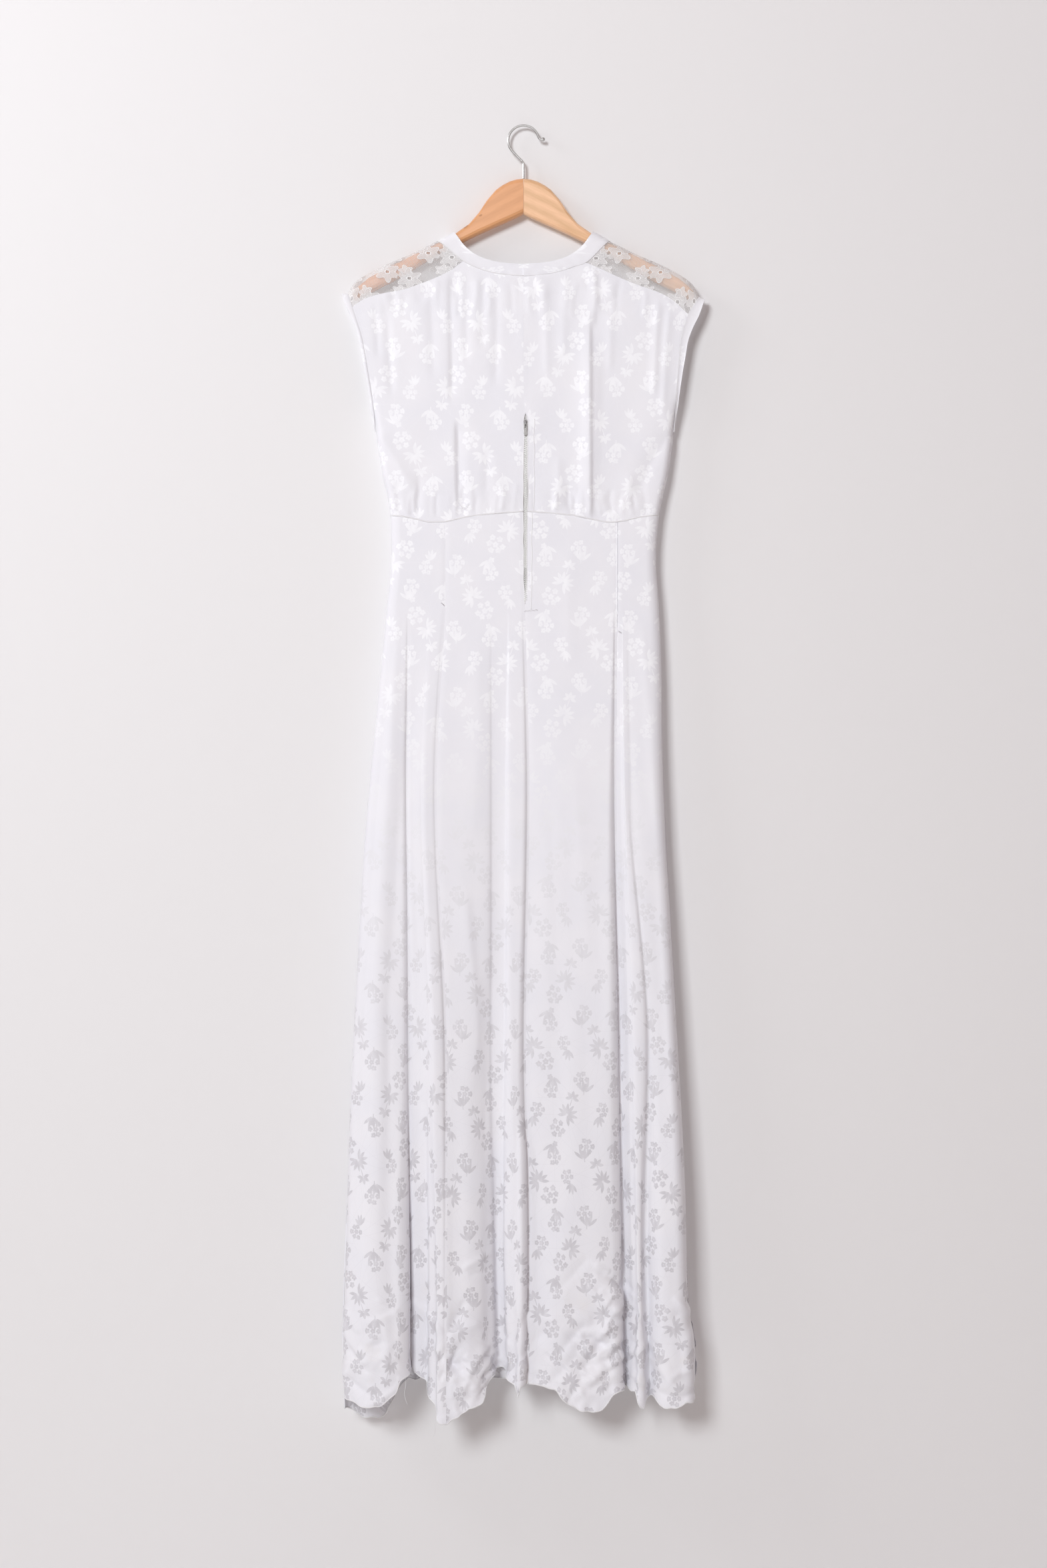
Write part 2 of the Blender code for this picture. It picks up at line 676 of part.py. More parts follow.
def armband_grid(side):
    """The band round an armhole, from the underarm over the shoulder tip and back."""
    inner = armhole_edge(side)[::-1] + (0, ARMBAND_SHIFT)
    turned = 1 - ramp(inner[:, 1], UNDERARM, UNDERARM + ARMHOLE_TURN)
    inner[:, 0] += side * (ARMBAND_SHIFT + UNDERARM_SHIFT * turned)
    outer_path = plane_path(ARMHOLE_OUTER_LEFT if side < 0 else ARMHOLE_OUTER_RIGHT, side)
    outer_top = outer_path[-1]
    outer = along(outer_path[:-1], 1 - np.array(ARMHOLE_ROWS[::-1]))
    inner_top = shoulder_table(side)[-1, :2] + (side * SEAM_GAP, 0)
    lines = []
    for points, top, above in ((inner, inner_top, ARMBAND_SHIFT), (outer, outer_top, ARMBAND_HEIGHT)):
        def flank(z, above=above):
            return armhole_flank(z - above)
        lines.append(over_shoulder(points, points, top, BODICE_DEPTH, 4, flank))
    return between(lines[0], lines[1], (0, 0.5, 1))


def bodice_plane(side, front):
    """The bodice half in the plane, blended from its four edges."""
    top = np.concatenate([neck_seam(side, front), lace_seam(side)]) - (0, SEAM_GAP)
    u = path_length(top) / path_length(top)[-1]
    bottom_z = waist_z(outline_x(waist_z(side * SIDE_AT_WAIST), side)) + WAIST_HALF_GAP
    heights = np.array([*SIDE_HEIGHTS, bottom_z])
    side_seam = np.stack([outline_x(heights, side), heights], axis=1)
    edge = np.concatenate([top[-1:], armhole_edge(side)[1:], side_seam])
    centre_z = np.array([top[0, 1], *CENTRE_ROWS, waist_z(0.0) + WAIST_HALF_GAP])
    if front:
        centre_z[1:4] = top[0, 1] + (centre_z[4] - top[0, 1]) * np.array([0.25, 0.5, 0.75])
        centre_x = np.zeros(len(centre_z))
    else:
        centre_x = centre_line(centre_z) + side * zip_half(centre_z)
    centre = np.stack([centre_x, centre_z], axis=1)
    v = np.linspace(0, 1, len(edge))
    bottom_x = centre_x[-1] + (edge[-1, 0] - centre_x[-1]) * u
    bottom = np.stack([bottom_x, waist_z(bottom_x) + WAIST_HALF_GAP], axis=1)
    top[0, 0] = centre_x[0]
    out, down = u[None, :, None], v[:, None, None]
    return (
        (1 - down) * top[None] + down * bottom[None]
        + (1 - out) * centre[:, None] + out * edge[:, None]
        - (1 - down) * (1 - out) * top[0] - (1 - down) * out * top[-1]
        - down * (1 - out) * bottom[0] - down * out * bottom[-1]
    )


def centre_line(z):
    """The x of the centre-back seam: it drifts to the zip's line."""
    return ZIP_CENTRE * ease(z, -330.0 * MM, ZIP_TOP)


def bodice_depth(plane, side):
    """Distance from the seam plane: round to the side seam below the underarm."""
    x, z = plane[..., 0], plane[..., 1]
    edge = np.broadcast_to(plane[:, -1:, 0], x.shape)
    inward = np.clip(np.abs(edge - x) / BODICE_DEPTH, 0, 1)
    rounded = np.sqrt(1 - (1 - inward) ** 2)
    open_share = (armhole_flank(z) - SEAM_GAP / 2) / (BODICE_DEPTH - SEAM_GAP / 2)
    share = open_share + (1 - open_share) * rounded
    return SEAM_GAP / 2 + (BODICE_DEPTH - SEAM_GAP / 2) * share


def bodice_folds(plane):
    """The pressed folds, each a soft ridge that rises from its top downwards."""
    x, z = plane[..., 0], plane[..., 1]
    lift = np.zeros_like(x)
    for fold_x, top, bottom, height in BODICE_FOLDS:
        across = np.exp(-(((x - fold_x * MM) / BODICE_FOLD_WIDTH) ** 2))
        down = ease(z, top * MM, (top - 40) * MM) * (1 - ease(z, (bottom + 50) * MM, bottom * MM))
        lift += height * MM * across * down
    return lift


def back_bodice_grid(side):
    """One half of the bodice's back."""
    plane = bodice_plane(side, False)
    depth = bodice_depth(plane, side) + bodice_folds(plane)
    return np.stack([plane[..., 0], -depth, plane[..., 1]], axis=-1)


def front_bodice_grid():
    """The bodice's front, both halves in one piece."""
    halves = []
    for side in (-1, 1):
        plane = bodice_plane(side, True)
        depth = bodice_depth(plane, side)
        halves.append(np.stack([plane[..., 0], depth, plane[..., 1]], axis=-1))
    left, right = halves
    return np.concatenate([left[:, ::-1], right[:, 1:]], axis=1)


def build_hanger(material):
    """Two wooden halves, glued at the middle, each a row of rounded sections."""
    corner_angles = np.radians([0, 30, 60, 90])
    for name, side in (("hanger_arm_left", -1), ("hanger_arm_right", 1)):
        rings = []
        for station, (distance, top, bottom) in enumerate(HANGER_STATIONS):
            distance, top, bottom = distance * MM, top * MM, bottom * MM
            at_tip = station == len(HANGER_STATIONS) - 1
            thick = HANGER_TIP_HALF_THICK if at_tip else HANGER_HALF_THICK
            edge = min(HANGER_EDGE, (top - bottom) / 2.2, thick * 0.9)
            ring = []
            for y_sign, z_sign, start in ((1, 1, 0), (-1, 1, 90), (-1, -1, 180), (1, -1, 270)):
                for angle in corner_angles + math.radians(start):
                    y = y_sign * (thick - edge) + edge * math.cos(angle)
                    level = top - edge if z_sign > 0 else bottom + edge
                    ring.append((side * max(distance, SEAM_GAP / 2), y, level + edge * math.sin(angle)))
            rings.append(ring)
        ring_solid(name, rings, material, 35)


def tube(name, path, radii, sides, material):
    """A tube of changing radius along a path in the plane y = 0."""
    tangent = np.gradient(path, axis=0)
    tangent /= np.linalg.norm(tangent, axis=1, keepdims=True)
    rings = []
    for point, way, radius in zip(path, tangent, radii):
        across = np.array([way[1], -way[0]])
        ring = []
        for k in range(sides):
            angle = 2 * math.pi * k / sides
            offset = across * radius * math.cos(angle)
            ring.append((point[0] + offset[0], radius * math.sin(angle), point[1] + offset[1]))
        rings.append(ring)
    return ring_solid(name, rings, material, 60)


def hook_path():
    """The wire's centre line: up the shank, round the crook and out to the tip."""
    centre = np.array([0.0, WIRE - HOOK_RADIUS])
    angles = np.radians(np.linspace(HOOK_START, HOOK_END, HOOK_STEPS))
    crook = centre + HOOK_RADIUS * np.stack([np.cos(angles), np.sin(angles)], axis=1)
    foot = np.array([[0.0, HANGER_STATIONS[0][1] * MM + SEAM_GAP]])
    tip = crook[-1] + np.array(HOOK_TIP) * MM
    return np.concatenate([foot, np.array(HOOK_SHANK) * MM, crook, tip])


def build_hook(material):
    """Steel wire, ending in a small ball."""
    path = hook_path()
    radii = np.full(len(path), WIRE)
    radii[-3:] = (HOOK_TIP_BALL, HOOK_TIP_BALL * 0.9, HOOK_TIP_BALL * 0.4)
    tube("hanger_hook", path, radii, 10, material)


def extruded_outline(name, outline, axis, low, high, material):
    """A flat outline pushed along X or Y from low to high."""
    count = len(outline)
    vertices = []
    for level in (low, high):
        vertices += [(level, a, b) if axis == "x" else (a, level, b) for a, b in outline]
    faces = [tuple(range(count)), tuple(reversed(range(count, 2 * count)))]
    for k in range(count):
        j = (k + 1) % count
        faces.append((k, k + count, j + count, j))
    return add_object(name, vertices, faces, material, 30)


def zip_face():
    """The y of the zip tape's face, just inside the back's cloth."""
    return -(BODICE_DEPTH - CLOTH_WALL / 2 - SEAM_GAP)


def build_zip(tape_material, metal):
    """The tape with its chain as a ridge, the slider with its bridge, and the pull."""
    face = zip_face()
    back = face + TAPE_WALL
    front = face - CHAIN_PROUD
    half_tape, half_chain = TAPE_WIDTH / 2, CHAIN_WIDTH / 2
    level = face - CHAIN_STEP
    chain_top, chain_end = ZIP_TOP - CHAIN_BELOW_TOP, ZIP_END + ZIP_CLOSING + CHAIN_ABOVE_END
    rings = []
    for z, crest in (
        (ZIP_TOP + TAPE_ABOVE, level), (chain_top, level), (chain_top - CHAIN_STEP, front),
        (chain_end + CHAIN_STEP, front), (chain_end, level), (ZIP_END - TAPE_BELOW, level),
    ):
        across = ((-half_tape, back), (-half_tape, face), (-half_chain, face), (-half_chain, crest),
                  (half_chain, crest), (half_chain, face), (half_tape, face), (half_tape, back))
        rings.append([(ZIP_CENTRE + x, y, z) for x, y in across])
    ring_solid("zip_tape", rings, tape_material, 30)

    plate_back = front - SEAM_GAP
    plate_front = plate_back - SLIDER_PLATE
    bridge_in = plate_front - BRIDGE_CLEAR
    bridge_out = bridge_in - BRIDGE_WIRE
    top, bottom = SLIDER_TOP, SLIDER_TOP - SLIDER_LENGTH
    half = SLIDER_WIDTH / 2
    shoulder, crown, tail = top - SLIDER_SHOULDER, half * SLIDER_TOP_SHARE, half * SLIDER_TAIL_SHARE
    outline = [(-half, shoulder), (-crown, top), (crown, top), (half, shoulder),
               (tail, bottom), (-tail, bottom)]
    outline = [(ZIP_CENTRE + x, z) for x, z in outline]
    plate = extruded_outline("zip_slider", outline, "y", plate_back, plate_front, metal)
    arch_top, arch_bottom = top - BRIDGE_INSET, bottom + BRIDGE_INSET
    sunk = plate_front + SLIDER_PLATE / 2
    arch = [
        (sunk, arch_top), (bridge_in, arch_top), (bridge_out, arch_top - BRIDGE_WIRE),
        (bridge_out, arch_bottom + BRIDGE_WIRE), (bridge_in, arch_bottom), (sunk, arch_bottom),
        (sunk, arch_bottom + BRIDGE_WIRE), (bridge_in, arch_bottom + BRIDGE_WIRE),
        (bridge_in, arch_top - BRIDGE_WIRE), (sunk, arch_top - BRIDGE_WIRE),
    ]
    bridge = extruded_outline("bridge", arch, "x", ZIP_CENTRE - BRIDGE_WIDTH / 2,
                              ZIP_CENTRE + BRIDGE_WIDTH / 2, metal)
    join = plate.modifiers.new("bridge", "BOOLEAN")
    join.operation = "UNION"
    join.object = bridge
    bridge.hide_render = True
    bridge.display_type = "WIRE"

    pin_y = plate_front - BRIDGE_CLEAR / 2
    pin_z = arch_bottom + BRIDGE_WIRE + PIN_ABOVE_BRIDGE
    build_pull(pin_y, pin_z, metal)


def build_pull(pin_y, pin_z, metal):
    """The pull tab, an eye round the bridge and a rounded tab, its origin on its pin's axis."""
    half_wall = PULL_WALL / 2
    half, eye = PULL_WIDTH / 2, PULL_EYE_WIDTH / 2
    low = half_wall - PULL_LENGTH
    eye_low = -half_wall - PULL_EYE_LENGTH
    waist, neck, corner = eye_low - PULL_SHOULDER, eye_low - PULL_NECK, low + PULL_END_CORNER
    slim, tip = half * PULL_NECK_SHARE, half / 2
    outer = [(-half, half_wall), (half, half_wall), (half, waist), (slim, neck), (half, corner),
             (tip, low), (-tip, low), (-half, corner), (-slim, neck), (-half, waist)]
    inner = [(-eye, -half_wall), (eye, -half_wall), (eye, eye_low), (-eye, eye_low)]
    vertices = [(x, y, z) for y in (-half_wall, half_wall) for x, z in outer + inner]
    shift = len(outer) + len(inner)
    ring_faces = [(0, 1, 11, 10), (1, 2, 12, 11), (2, 9, 13, 12), (9, 0, 10, 13),
                  (2, 3, 8, 9), (3, 4, 7, 8), (4, 5, 6, 7)]
    faces = list(ring_faces)
    faces += [tuple(reversed([v + shift for v in face])) for face in ring_faces]
    count = len(outer)
    for k in range(count):
        j = (k + 1) % count
        faces.append((k, k + shift, j + shift, j))
    for k in range(4):
        j = (k + 1) % 4
        faces.append((count + j, count + j + shift, count + k + shift, count + k))
    pull = add_object("zip_pull", vertices, faces, metal, 30)
    pull.location = (ZIP_CENTRE, pin_y, pin_z)


def split_at_seams(columns):
    """The skirt's columns cut at the sewn seams; both neighbours keep the seam's column."""
    groups = [[]]
    for column in columns:
        groups[-1].append(column)
        if column[0] == "seam":
            groups.append([column])
    return groups


def build_skirt(cloth):
    """Four pieces behind and one in front."""
    every, first, last = slice(None), 0, -1
    seam_left, seam_right = (every, first, 0), (every, last, 0)
    side_left, side_right = (every, first, 1), (every, last, 1)
    waist = (first, every, 2)
    rims = {
        "skirt_back_left_side": (side_left, seam_right, waist),
        "skirt_back_centre_left": (seam_left, seam_right, waist),
        "skirt_back_centre_right": (seam_left, seam_right, waist),
        "skirt_back_right_side": (seam_left, side_right, waist),
    }
    for (name, edges), columns in zip(rims.items(), split_at_seams(skirt_columns())):
        wall_from_grid(name, back_skirt_grid(columns), CLOTH_WALL, cloth, edges)
    wall_from_grid("skirt_front", front_skirt_grid(), CLOTH_WALL, cloth,
                   (side_left, side_right, waist))


def build_bodice(cloth, lace):
    """Bodice, lace yokes, neckband and armhole bands."""
    every, first, last = slice(None), 0, -1
    underarm = len(ARMHOLE_ROWS) - 1
    top, waist, centre = (first, every, 2), (last, every, 2), (every, first, 0)
    side = (slice(underarm, None), last, 1)
    other_side = (slice(underarm, None), first, 1)
    for name, sign in (("bodice_back_left", -1), ("bodice_back_right", 1)):
        wall_from_grid(name, back_bodice_grid(sign), CLOTH_WALL, cloth, (top, waist, centre, side))
    wall_from_grid("bodice_front", front_bodice_grid(), CLOTH_WALL, cloth,
                   (top, waist, side, other_side))
    for word, sign in (("left", -1), ("right", 1)):
        wall_from_grid("lace_yoke_" + word, yoke_grid(sign), LACE_WALL, lace)
        wall_from_grid("neckband_" + word, neckband_grid(sign), BAND_WALL, cloth)
        wall_from_grid("armhole_band_" + word, armband_grid(sign), CLOTH_WALL, cloth)


def main():
    for thing in list(bpy.data.objects):
        bpy.data.objects.remove(thing, do_unlink=True)
    cloth = make_material("white_brocade", (0.80, 0.79, 0.82), 0.55)
    lace = make_material("white_lace", (0.85, 0.84, 0.85), 0.8)
    wood = make_material("varnished_wood", (0.62, 0.37, 0.18), 0.4)
    steel = make_material("hook_steel", (0.62, 0.62, 0.60), 0.3, 1.0)
    zip_cloth = make_material("zip_tape", (0.75, 0.75, 0.76), 0.7)
    zip_metal = make_material("zip_metal", (0.55, 0.55, 0.56), 0.35, 1.0)
    build_hanger(wood)
    build_hook(steel)
    build_bodice(cloth, lace)
    build_skirt(cloth)
    build_zip(zip_cloth, zip_metal)


main()
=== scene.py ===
# %% [markdown]
# A brocade dress on a wooden hanger
#
# The real thing is a floor-length sleeveless dress of white woven brocade, seen from the
# back: lace at the shoulders, a narrow band round the neck and each armhole, a seam at the
# waist, and a skirt that opens into deep soft folds. The CAD solids give its true shape.
# Here each piece of cloth becomes a thin shell on the form of its solid, with the creases,
# the worn hem and the woven flowers that a solid can't hold.
# We begin by loading those solids as a frame that never moves.

# %% Load the fixed frame
import math

import bpy
import numpy as np
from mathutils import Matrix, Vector


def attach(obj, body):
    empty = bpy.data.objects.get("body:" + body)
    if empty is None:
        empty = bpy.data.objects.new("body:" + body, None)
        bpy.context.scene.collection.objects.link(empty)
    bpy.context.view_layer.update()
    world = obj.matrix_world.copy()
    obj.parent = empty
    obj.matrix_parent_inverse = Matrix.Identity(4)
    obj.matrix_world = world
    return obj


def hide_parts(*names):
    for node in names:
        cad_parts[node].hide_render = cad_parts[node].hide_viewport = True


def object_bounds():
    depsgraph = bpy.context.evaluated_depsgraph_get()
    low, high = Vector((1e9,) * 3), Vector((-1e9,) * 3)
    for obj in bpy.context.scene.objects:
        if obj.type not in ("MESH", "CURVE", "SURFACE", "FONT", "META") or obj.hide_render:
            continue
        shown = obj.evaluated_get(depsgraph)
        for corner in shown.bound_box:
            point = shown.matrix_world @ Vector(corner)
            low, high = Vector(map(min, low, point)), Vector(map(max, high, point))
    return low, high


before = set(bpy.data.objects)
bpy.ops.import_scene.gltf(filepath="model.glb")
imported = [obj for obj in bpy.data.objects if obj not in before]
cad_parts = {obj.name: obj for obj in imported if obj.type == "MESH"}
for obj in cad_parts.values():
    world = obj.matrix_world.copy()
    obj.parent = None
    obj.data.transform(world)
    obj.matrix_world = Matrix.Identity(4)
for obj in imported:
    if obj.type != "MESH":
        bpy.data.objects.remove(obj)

MM = 0.001
DRESS = "dress_and_hanger"
cad_box = [[float(v) for v in corner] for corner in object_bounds()]
print("solids:", len(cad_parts), "box from", cad_box[0], "to", cad_box[1])

# %% [markdown]
# The view
#
# A photograph of a long dress is taken from a few metres away, level with its middle, so
# that the neck and the hem are seen at the same slight angle. A camera's lens length
# follows from its distance and from the height that has to fit in the picture, so we work
# it out instead of guessing it.

# %% Camera
PHOTO_HEIGHT = 2349
METRES_PER_PIXEL = 0.85 * MM
CAMERA_DISTANCE = 2.8
CAMERA_HEIGHT = -0.837
SENSOR_HEIGHT = 36.0

camera_data = bpy.data.cameras.new("camera")
camera_data.sensor_fit = "VERTICAL"
camera_data.sensor_height = SENSOR_HEIGHT
camera_data.lens = SENSOR_HEIGHT * CAMERA_DISTANCE / (PHOTO_HEIGHT * METRES_PER_PIXEL)
camera = bpy.data.objects.new("camera", camera_data)
camera.location = (0.0, -CAMERA_DISTANCE, CAMERA_HEIGHT)
camera.rotation_euler = (math.pi / 2, 0.0, 0.0)
bpy.context.scene.collection.objects.link(camera)
bpy.context.scene.camera = camera
print("lens:", round(camera_data.lens, 1), "mm")

# %% [markdown]
# Wall, floor and light
#
# A white dress on a pale wall is told apart from it by soft shadows alone. One large lamp
# stands on the left in front and a weak one far to the left, so folds get a bright left
# flank and a soft grey right one. A faint lamp on the right and one behind the dress keep
# the other views from going black.
# The skirt hangs freer than the bodice, so the wall leans a little and the shadow beside
# the dress widens towards the hem. A warm sky colour fills the shadows.
# The wall is seen from its front only: its back is made transparent, so that other views
# can look at the dress from behind.

# %% Backdrop
WALL_Y = 10.0 * MM
WALL_LEAN = 0.0245
FLOOR_Z = -1.95
STAGE_HALF = 6.0
WALL_COLOUR = (0.80, 0.792, 0.797, 1.0)
FLOOR_COLOUR = (0.72, 0.71, 0.70, 1.0)


def new_material(name):
    """A material, its node tree and the Principled shader in it."""
    material = bpy.data.materials.new(name)
    material.use_nodes = True
    return material, material.node_tree, material.node_tree.nodes["Principled BSDF"]


def new_object(name, points, faces, material):
    """An object in the scene whose mesh has these points, faces and material."""
    mesh = bpy.data.meshes.new(name)
    mesh.from_pydata(points, [], faces)
    mesh.materials.append(material)
    thing = bpy.data.objects.new(name, mesh)
    bpy.context.scene.collection.objects.link(thing)
    return thing


def flat_stage(name, corners, material):
    """A flat rectangle for the wall or the floor."""
    thing = new_object(name, corners, [(0, 1, 2, 3)], material)
    return thing


wall_paint, tree, shader = new_material("wall_paint")
shader.inputs["Roughness"].default_value = 0.9
shader.inputs["Base Color"].default_value = WALL_COLOUR
side = tree.nodes.new("ShaderNodeNewGeometry")
clear = tree.nodes.new("ShaderNodeBsdfTransparent")
choose = tree.nodes.new("ShaderNodeMixShader")
tree.links.new(side.outputs["Backfacing"], choose.inputs[0])
tree.links.new(shader.outputs[0], choose.inputs[1])
tree.links.new(clear.outputs[0], choose.inputs[2])
tree.links.new(choose.outputs[0], tree.nodes["Material Output"].inputs["Surface"])

floor_paint, _, shader = new_material("floor_paint")
shader.inputs["Base Color"].default_value = FLOOR_COLOUR
shader.inputs["Roughness"].default_value = 0.8

h = STAGE_HALF
foot_y, head_y = (WALL_Y - WALL_LEAN * z for z in (FLOOR_Z, h))
wall = flat_stage(
    "wall", [(-h, foot_y, FLOOR_Z), (h, foot_y, FLOOR_Z), (h, head_y, h), (-h, head_y, h)], wall_paint
)
wall.visible_shadow = False
floor = flat_stage(
    "floor", [(-h, -h, FLOOR_Z), (h, -h, FLOOR_Z), (h, h, FLOOR_Z), (-h, h, FLOOR_Z)], floor_paint
)
print("stage:", wall.name, floor.name)

# %% Lamps
# Each lamp: name, place, what it looks at, size, power in watts and colour
LAMPS = (
    ("key", (-1.6, -4.4, 0.9), (0.0, 0.0, -0.80), 1.3, 152.0, (0.932, 0.972, 1.0)),
    ("side", (-2.2, -0.9, 0.8), (0.0, 0.0, -0.30), 0.8, 14.0, (0.95, 0.97, 1.0)),
    ("fill", (2.2, -3.2, 0.2), (0.0, 0.0, -0.6), 2.2, 3.0, (1.0, 0.97, 0.95)),
    ("behind", (0.8, 3.2, 0.8), (0.0, 0.0, -0.9), 2.0, 40.0, (1.0, 1.0, 1.0)),
)
SKY_COLOUR = (1.0, 0.76, 0.70, 1.0)
SKY_STRENGTH = 0.28
for name, place, target, size, power, colour in LAMPS:
    lamp = bpy.data.lights.new(name, "AREA")
    lamp.color = colour
    lamp.size = size
    lamp.energy = power
    holder = bpy.data.objects.new(name, lamp)
    holder.location = place
    holder.rotation_euler = (Vector(target) - Vector(place)).to_track_quat("-Z", "Y").to_euler()
    bpy.context.scene.collection.objects.link(holder)

world = bpy.data.worlds.new("studio")
world.use_nodes = True
sky = world.node_tree.nodes["Background"]
sky.inputs["Color"].default_value = SKY_COLOUR
sky.inputs["Strength"].default_value = SKY_STRENGTH
bpy.context.scene.world = world
bpy.context.scene.view_settings.view_transform = "Standard"
print("lamps:", [row[0] for row in LAMPS])

# %% [markdown]
# Curves through a few named points
#
# A pattern maker works from a few measures and draws smooth lines through them. We do the
# same with one helper that never overshoots the points it is given, so that a width or a
# height between two rows of a table always lies between them.


# %% Curve helpers
def smooth(at, knots, values):
    """A curve through the values at rising knots.

    Between two knots it is a cubic whose slope at each knot is the harmonic mean of the
    slopes beside it, or zero at a turning point, so it never overshoots.
    The values may be numbers, or whole arrays stacked along the first axis.
    """
    knots = np.asarray(knots, float)
    values = np.asarray(values, float)
    at = np.clip(np.asarray(at, float), knots[0], knots[-1])
    spread = (-1,) + (1,) * (values.ndim - 1)
    width = np.diff(knots)
    slope = np.diff(values, axis=0) / width.reshape(spread)
    before, after = slope[:-1], slope[1:]
    same_way = before * after > 0
    total = np.where(same_way, before + after, 1.0)
    inner = np.where(same_way, 2 * before * after / total, 0.0)
    tangent = np.concatenate([slope[:1], inner, slope[-1:]])
    i = np.clip(np.searchsorted(knots, at, side="right") - 1, 0, len(width) - 1)
    shape = at.shape + (1,) * (values.ndim - 1)
    t = ((at - knots[i]) / width[i]).reshape(shape)
    step = width[i].reshape(shape)
    return (
        values[i] * (2 * t**3 - 3 * t**2 + 1)
        + values[i + 1] * (3 * t**2 - 2 * t**3)
        + tangent[i] * step * (t**3 - 2 * t**2 + t)
        + tangent[i + 1] * step * (t**3 - t**2)
    )


def ramp(value, start, end):
    """0 before start, 1 after end and an even slope between."""
    return np.clip((np.asarray(value, float) - start) / (end - start), 0.0, 1.0)


def ease(value, start, end):
    """The same with soft ends: three times the square less twice the cube."""
    t = ramp(value, start, end)
    return t * t * (3 - 2 * t)


def path_length(points, axis=0):
    """Distance run at each point of a polyline, or along an axis of a grid of points."""
    run = np.cumsum(np.linalg.norm(np.diff(points, axis=axis), axis=-1), axis=axis)
    return np.concatenate([np.zeros_like(run.take([0], axis)), run], axis=axis)


def along(path, share):
    """Points at shares 0 to 1 of a smooth curve through the path's points."""
    length = path_length(path)
    return smooth(np.asarray(share) * length[-1], length, path)


def normals(grid):
    """Unit normals of a grid of points, square to the slopes down and across it."""
    cross = np.cross(np.gradient(grid, axis=0), np.gradient(grid, axis=1))
    return cross / np.maximum(np.linalg.norm(cross, axis=-1, keepdims=True), 1e-12)


def refined(grid, step):
    """The same surface with more points, its own points kept.

    Smooth curves run through its columns and then through its rows. Each gap between
    neighbours is divided evenly into parts no longer than the step.
    """
    for axis in (0, 1):
        lines = np.moveaxis(grid, axis, 0)
        gaps = np.linalg.norm(np.diff(lines, axis=0), axis=-1).mean(axis=1)
        knots = np.concatenate([[0.0], np.cumsum(np.maximum(gaps, 1e-6))])
        parts = np.maximum(np.ceil(gaps / step).astype(int), 2 if gaps.min() < step else 1)
        at = np.concatenate([np.linspace(a, b, n, endpoint=False)
                             for a, b, n in zip(knots[:-1], knots[1:], parts)] + [knots[-1:]])
        grid = np.moveaxis(smooth(at, knots, lines), 0, axis)
    return grid


print("halfway between 1 and 3 with a flat end:", smooth(0.5, (0, 1, 2), (1, 3, 3)))

# %% [markdown]
# The cut of the dress
#
# A sewing pattern is a few measures: where the underarm, the waist and the hem lie, how
# wide the dress is at each height, and where each fold falls. These are the same measures
# that the solids were made from, in millimetres from the hook, so that the shells made
# from them lie where the solids are.

# %% Measures of the dress
SEAM_GAP = 0.04 * MM
WAIST_HALF_GAP = 0.04 * MM
ARMBAND_SHIFT = 0.5 * MM
UNDERARM_SHIFT = 1.3 * MM
BODICE_DEPTH = 10.5 * MM
HEM_DEPTH_BACK = 20.0 * MM
HEM_DEPTH_FRONT = 12.0 * MM
BAND_EXTRA_DEPTH = 0.3 * MM
FRONT_FOLD_SHARE = 0.45
NECK_FRONT_DROP = 16.0 * MM
NECK_HALF_WIDTH = 75.0 * MM
UNDERARM = -390.0 * MM
ARMHOLE_TURN = 60.0 * MM
ZIP_TOP = -366.0 * MM
ZIP_END = -612.0 * MM
PLEATS_OPEN = -614.0 * MM
HIP = -842.0 * MM
KNEE = -1180.0 * MM
CALF = -1397.0 * MM
HEM = -1615.0 * MM
FRONT_HEM = -1597.0 * MM
FRONT_HEM_LEFT_DROP = 52.0 * MM
FRONT_HEM_LEFT_X = (-145.0 * MM, -190.0 * MM)
FRONT_HEM_CORNER_RISE = 18.0 * MM
FRONT_HEM_CORNER_X = (-206.0 * MM, -232.0 * MM)
ZIP_CENTRE = 2.6 * MM
ZIP_DRIFT_TOP = -330.0 * MM
ZIP_HALF_OPENING = 2.5 * MM
ZIP_OPENING = 7.5 * MM
ZIP_CLOSING = 40.0 * MM
# The zip's gap as a share of its opening, how much more it is where it stands widest,
# at what height that is, and how far above and below it the extra width fades
ZIP_EVEN, ZIP_EXTRA = 0.85, 0.4
ZIP_WIDEST, ZIP_BULGE = -0.465, 0.035

# The silhouette below the underarm: height, left side, right side
OUTLINE = (
    (-1650, -224, 217),
    (-1600, -229, 218),
    (-1553, -230, 218),
    (-1500, -229, 209),
    (-1357, -224, 205),
    (-1165, -216, 195),
    (-1011, -208, 186),
    (-898, -201, 180),
    (-787, -191, 176),
    (-698, -182, 175),
    (-616, -174, 172),
    (-550, -168, 168),
    (-496, -169, 172),
    (-440, -180, 184),
    (-380, -189, 192),
)

# The waist seam's height against distance from the centre
WAIST = ((0, -491), (60, -496), (112, -505), (150, -498), (175, -495))
print("waist to hem:", round(WAIST[0][1] - HEM / MM), "mm")

